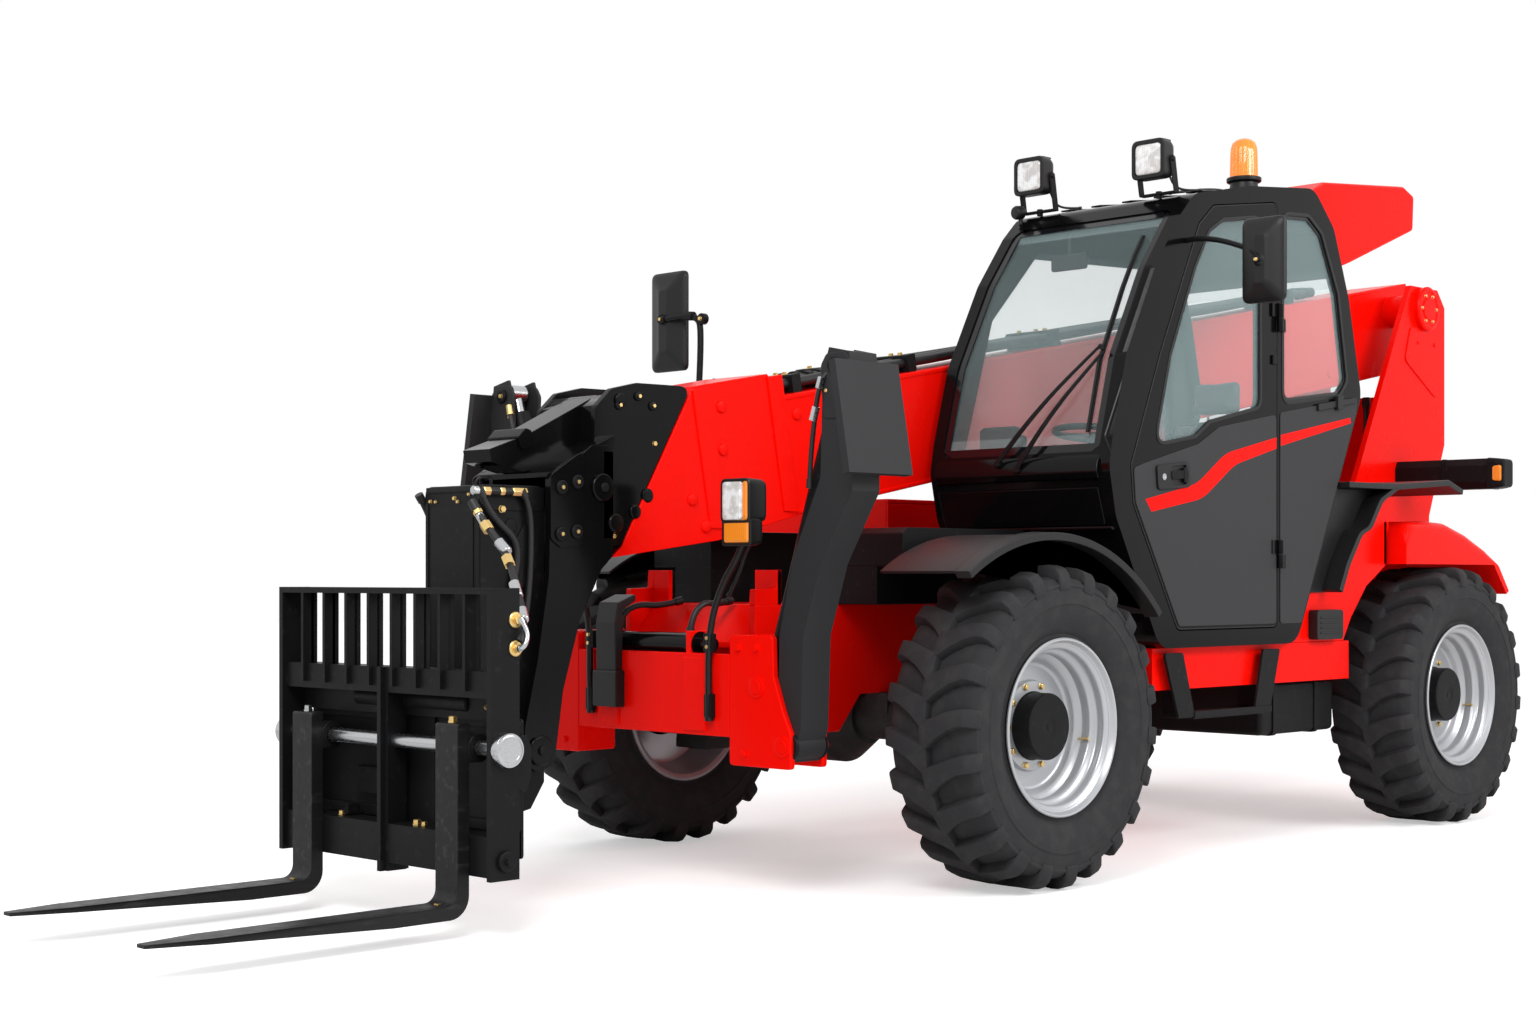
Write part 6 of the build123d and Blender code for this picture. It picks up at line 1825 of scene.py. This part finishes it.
def make_headlamps():
    housing, clear, amber, dish = bmesh.new(), bmesh.new(), bmesh.new(), bmesh.new()
    lamp_housing(housing, 930, 1036, LAMP_Y, 1425, LAMP_HALF, 80, 24, 9, 9)
    lamp_housing(housing, 950, 1030, LAMP_Y, 1318, LAMP_HALF, 54, 18, 9, 8)
    lens_slab(clear, 1034, 450, 550, 1356, 1494, 14, 5)
    lens_slab(amber, 1034, 553, 579, 1356, 1494, 10, 4)
    lens_slab(amber, 1028, 452, 578, 1276, 1360, 12, 5)
    add_cushioned(dish, lambda inset: round_box(500, 1425, 50 - inset, 69 - inset, 14),
                  [(1028.5, 0), (1029, 0), (1026, 8), (1022, 26)])
    make("headlamp_housings", housing, PLASTIC, replaces=["headlamps"], mirror=True)
    make("headlamp_reflectors", dish, STEEL, mirror=True)
    make("headlamp_lenses", clear, CLEAR, mirror=True)
    make("indicator_lenses", amber, AMBER, mirror=True)
    stalk = []
    for side in BOTH:
        stalk.append(([(984, side * 330, 640), (990, side * 330, 760), (986, side * 334, 980),
                       (984, side * 400, 1130), (984, side * 478, 1220), (984, side * 505, 1275)], 13,
                      18))
        stalk.append(([(975, side * 515, 1330), (966, side * 545, 1290), (962, side * 500, 1250),
                       (958, side * 460, 1160), (950, side * 400, 1090)], 7, 14))
    lay_hoses("headlamp_stalks", stalk, PLASTIC)
    make("beam_hose_guard", [
        (add_slab, [(966, 700), (1002, 700), (1006, 980), (990, 1056), (900, 1090), (900, 1062),
                    (966, 1030)], "y", -276, -164, 10, 4),
        (add_slab, [(966, 660), (1016, 660), (1016, 800), (966, 800)], "y", -284, -150, 10, 4)],
         PLASTIC, 6, 3)
    make("headlamp_feet", [
        (add_block, 970, 994, 306, 356, 880, 950),
        (add_block, 970, 996, 311, 351, 640, 730)], SATIN, 6, mirror=True)
    fasten("headlamp_bolts", HEX, [((994, side * 331, z), (1, 0, 0), 18)
                                   for side in BOTH for z in (900, 932)], GOLD)


def make_roof_lamps():
    housing, clear, dish, bracket = bmesh.new(), bmesh.new(), bmesh.new(), bmesh.new()
    heads = []
    for y, z in ((319, 2861), (927, 2850)):
        lamp_housing(housing, -998, -903, y, z, 80, 80, 30, 17, 9)
        lens_slab(clear, -906, y - 61, y + 61, z - 61, z + 61, 20, 4)
        add_cushioned(dish, lambda inset: round_box(y, z, 62 - inset, 62 - inset, 16),
                      [(-913, 0), (-912.5, 0), (-916, 10), (-922, 40)])
        for rib in range(5):
            add_block(housing, -996, -938, y - 50 + rib * 24, y - 46 + rib * 24, z + 78, z + 84)
        for side in (-1, 1):
            add_slab(bracket, [(-1003, 2716), (-968, 2716), (-940, z), (-956, z + 16), (-976, z + 8)],
                     "y", y + side * 84 - 2.5, y + side * 84 + 2.5, 7)
            heads.append(((-956, y + side * 87, z - 2), (0, side, 0), 24))
        add_block(bracket, -1003, -968, y - 86, y + 86, 2713, 2721)
        add_rod(bracket, (-985, y, 2700), (-985, y, 2728), 13)
    make("roof_lamp_housings", housing, PLASTIC, replaces=["roof_lamps"])
    make("roof_lamp_reflectors", dish, STEEL)
    make("roof_lamp_lenses", clear, CLEAR)
    make("roof_lamp_brackets", bracket, SATIN, 1.2)
    fasten("roof_lamp_knobs", BALL, heads, SATIN)
    lay_hoses("roof_lamp_leads", [([(-1000, y, z - 20), (-1040, y + 10, z - 40), (-1060, y + 20, 2760),
                                    (-1080, y + 60, 2735), (-1150, y + 90, 2744)], 5, 10)
                                  for y, z in ((319, 2861), (927, 2850))], HOSE)


def make_beacon():
    x, y = -1740, 850
    make("beacon_base", [
        (add_turned, [(0, 2790), (78, 2790), (78, 2812), (74, 2818), (66, 2828), (60, 2860), (60, 2868),
                      (72, 2872), (75, 2876), (75, 2889), (72, 2892), (66, 2893), (0, 2893)], (x, y, 0),
         (0, 0, 1), 48)], PLASTIC, replaces=["beacon"])
    dome = bmesh.new()
    rings = add_turned(dome, [(0, 2894), (61, 2894), (61.5, 2900), (60.5, 2950), (59, 3000), (57, 3022),
                              (50, 3042), (36, 3055), (18, 3062), (0, 3064)], (x, y, 0), (0, 0, 1), 72)
    middle = spot(x, y, 0)
    for ring in rings[1:7]:
        for i, vert in enumerate(ring):
            if i % 6 < 2:
                out = Vector((vert.co.x - middle.x, vert.co.y - middle.y, 0)).normalized()
                vert.co -= out * 2.4 * MM
    make("beacon_dome", dome, AMBER)
    make("beacon_lamp", [
        (add_turned, [(0, 2896), (34, 2896), (34, 2906), (16, 2912), (14, 2960), (26, 2968), (28, 2990),
                      (12, 3008), (0, 3010)], (x, y, 0), (0, 0, 1), 32)], STEEL)
    lay_hoses("beacon_lead", [([(x + 60, y, 2800), (x + 110, y + 10, 2802), (x + 190, y + 20, 2812),
                                (x + 330, y + 40, 2796), (x + 480, y + 50, 2770),
                                (x + 620, y + 40, 2744)], 6, 12)], HOSE)


def make_rear_lamps():
    arm, amber, red = bmesh.new(), bmesh.new(), bmesh.new()
    add_slab(arm, [(-4078, 1640), (-4060, 1602), (-3984, 1602), (-3962, 1640), (-3962, 1722),
                   (-3984, 1758), (-4060, 1758), (-4078, 1722)], "y", 356, 880, 8, 2)
    add_cushioned(arm, lambda inset: round_box(-4020, 1680, 60 - inset, 78 - inset, 20),
                  [(872, 0), (902, 0), (928, 3), (952, 8), (958, 14)], "y")
    for y in (620, 870):
        add_slab(arm, round_box(-4020, 1680, 62, 80, 20), "y", y, y + 14)
    make("rear_lamp_arms", arm, SATIN, 1.5, replaces=["rear_lamps"], mirror=True)
    lens_slab(amber, -3963, 893, 945, 1640, 1720, 12, 4)
    make("rear_side_lenses", amber, AMBER, mirror=True)
    for y0, y1 in ((700, 790), (796, 868)):
        made = bmesh.new()
        lens_slab(made, 4075, -y1, -y0, 1625, 1735, 10, 4)
        for vert in made.verts:
            vert.co.x = 2 * FRONT_AXLE.x - vert.co.x
            vert.co.y = -vert.co.y
        red.from_mesh(as_mesh("turned_lens", made))
    make("tail_lenses", red, RED_LENS, mirror=True)


def make_mirrors():
    shells, faces = (bmesh.new(), bmesh.new()), (bmesh.new(), bmesh.new())
    for index, (x_face, x_back, y, z, half_y, half_z) in enumerate(((-856, -803, 1505, 2375, 94, 164),
            (-496, -433, -1480, 2355, 119, 234))):
        shell, face = shells[index], faces[index]

        def ring(inset, corner=30):
            return round_box(y, z, half_y - inset, half_z - inset, corner)
        add_cushioned(shell, ring, [(x_face, 5), (x_face, 0), (x_face + 12, 0), (x_face + 20, 4),
                                    (x_face + 30, 22), (x_face + 38, 50),
                                    (x_back - 8, half_y * 0.72, 20), (x_back - 6, half_y * 0.80, 14)])
        add_cushioned(face, ring, [(x_face + 2, 7, 24), (x_face - 1.5, 7, 24), (x_face - 2, 9, 22)])
        boss_z = z + (0 if index else -5)
        add_turned(shell, [(0, 0), (24, 0), (24, 10), (18, 14), (14, 20), (0, 20)],
                   (x_back - 16, y, boss_z), (1, 0, 0))
    for bm, face, node in zip(shells, faces, ("mirror_left", "mirror_right")):
        make(node + "_housing", bm, PLASTIC, replaces=[node])
        make(node + "_face", face, MIRROR)
    lay_hoses("mirror_left_arm", [([(-950, 1078, 2502), (-925, 1110, 2508), (-900, 1250, 2490),
                                    (-860, 1400, 2440), (-812, 1495, 2400), (-806, 1505, 2372)], 11,
                                   22)], SATIN)
    lay_hoses("mirror_right_arm", [([(-300, -1150, 1180), (-302, -1152, 1260), (-390, -1186, 1900),
                                     (-424, -1198, 2300), (-426, -1230, 2352), (-428, -1330, 2368),
                                     (-440, -1470, 2362)], 15, 34)], SATIN)
    make("mirror_right_clamps", [
        (add_rod, (-440, -1190, 2340), (-410, -1190, 2340), 26),
        (add_rod, (-424, -1250, 2358), (-428, -1310, 2364), 21),
        (add_rod, (-452, -1480, 2362), (-425, -1480, 2362), 24)], SATIN, 3)
    fasten("mirror_nuts", HEX, [((-409, -1190, 2340), (1, 0, 0), 22),
                                ((-424, -1480, 2362), (1, 0, 0), 20),
                                ((-786, 1505, 2370), (1, 0, 0), 16)], GOLD)


make_headlamps()
make_roof_lamps()
make_beacon()
make_rear_lamps()
make_mirrors()


# ------------------------------------------------------------------ the setting
CAMERA_AT = (6370.0, 5981.0, 1156.0)
CAMERA_YAW = -134.945
CAMERA_LENS = 50.33
CAMERA_SHIFT = (0.0061, 0.0419)
SKY_SEEN = 1.0            # strength of the background to the camera and in reflections
SKY_ON_PAINT = 0.72       # and as light
FLOOR_REACH = 40.0        # metres from the middle
FLOOR_Z = -0.001
FLOOR_GLOW = 0.45


def place_camera():
    data = bpy.data.cameras.new("camera")
    data.lens = CAMERA_LENS
    data.sensor_width = 36.0
    data.shift_x, data.shift_y = CAMERA_SHIFT
    camera = bpy.data.objects.new("camera", data)
    camera.location = spot(*CAMERA_AT)
    camera.rotation_euler = (math.radians(90), 0, math.radians(CAMERA_YAW - 90))
    bpy.context.scene.collection.objects.link(camera)
    bpy.context.scene.camera = camera


def area_lamp(name, at, aim, size, power):
    data = bpy.data.lights.new(name, "AREA")
    data.shape = "RECTANGLE"
    data.size, data.size_y = size
    data.energy = power
    lamp = bpy.data.objects.new(name, data)
    lamp.location = spot(*at)
    lamp.rotation_euler = (spot(*aim) - spot(*at)).to_track_quat("-Z", "Y").to_euler()
    bpy.context.scene.collection.objects.link(lamp)


def light_the_room():
    world = bpy.data.worlds.new("plain_studio")
    bpy.context.scene.world = world
    world.use_nodes = True
    tree = world.node_tree
    path = tree.nodes.new("ShaderNodeLightPath")
    seen = tree.nodes.new("ShaderNodeMath")
    seen.operation = "MAXIMUM"
    tree.links.new(path.outputs["Is Camera Ray"], seen.inputs[0])
    glossy = tree.nodes.new("ShaderNodeMath")
    glossy.operation = "MAXIMUM"
    tree.links.new(path.outputs["Is Glossy Ray"], glossy.inputs[0])
    tree.links.new(path.outputs["Is Transmission Ray"], glossy.inputs[1])
    tree.links.new(glossy.outputs[0], seen.inputs[1])
    mix = tree.nodes.new("ShaderNodeMapRange")
    mix.inputs["To Min"].default_value = SKY_ON_PAINT
    mix.inputs["To Max"].default_value = SKY_SEEN
    tree.links.new(seen.outputs[0], mix.inputs["Value"])
    background = tree.nodes["Background"]
    background.inputs["Color"].default_value = (1, 1, 1, 1)
    tree.links.new(mix.outputs[0], background.inputs["Strength"])
    area_lamp("key", (5600, 3400, 6200), (0, 0, 900), (3.0, 3.0), 330)
    area_lamp("left", (-2500, 7000, 4600), (-1500, 0, 1200), (4.0, 2.0), 260)


def lay_floor():
    bm = bmesh.new()
    corners = [bm.verts.new((x * FLOOR_REACH, y * FLOOR_REACH, FLOOR_Z))
               for x, y in ((-1, -1), (1, -1), (1, 1), (-1, 1))]
    bm.faces.new(corners)
    mesh = as_mesh("floor", bm)
    floor = placed("floor", mesh)
    material = bpy.data.materials.new("pale_floor")
    material.use_nodes = True
    tree = material.node_tree
    shader = tree.nodes["Principled BSDF"]
    shader.inputs["Base Color"].default_value = (0.86, 0.86, 0.86, 1)
    shader.inputs["Roughness"].default_value = 0.9
    shader.inputs["Specular IOR Level"].default_value = 0.0
    path = tree.nodes.new("ShaderNodeLightPath")
    lift = tree.nodes.new("ShaderNodeMath")
    lift.operation = "MULTIPLY"
    lift.inputs[1].default_value = FLOOR_GLOW
    tree.links.new(path.outputs["Is Camera Ray"], lift.inputs[0])
    shader.inputs["Emission Color"].default_value = (1, 1, 1, 1)
    tree.links.new(lift.outputs[0], shader.inputs["Emission Strength"])
    mesh.materials.append(material)


place_camera()
light_the_room()
lay_floor()

for head in (HEX, DISC, BALL):
    bpy.data.objects.remove(head)

bpy.context.scene.view_settings.view_transform = "Standard"
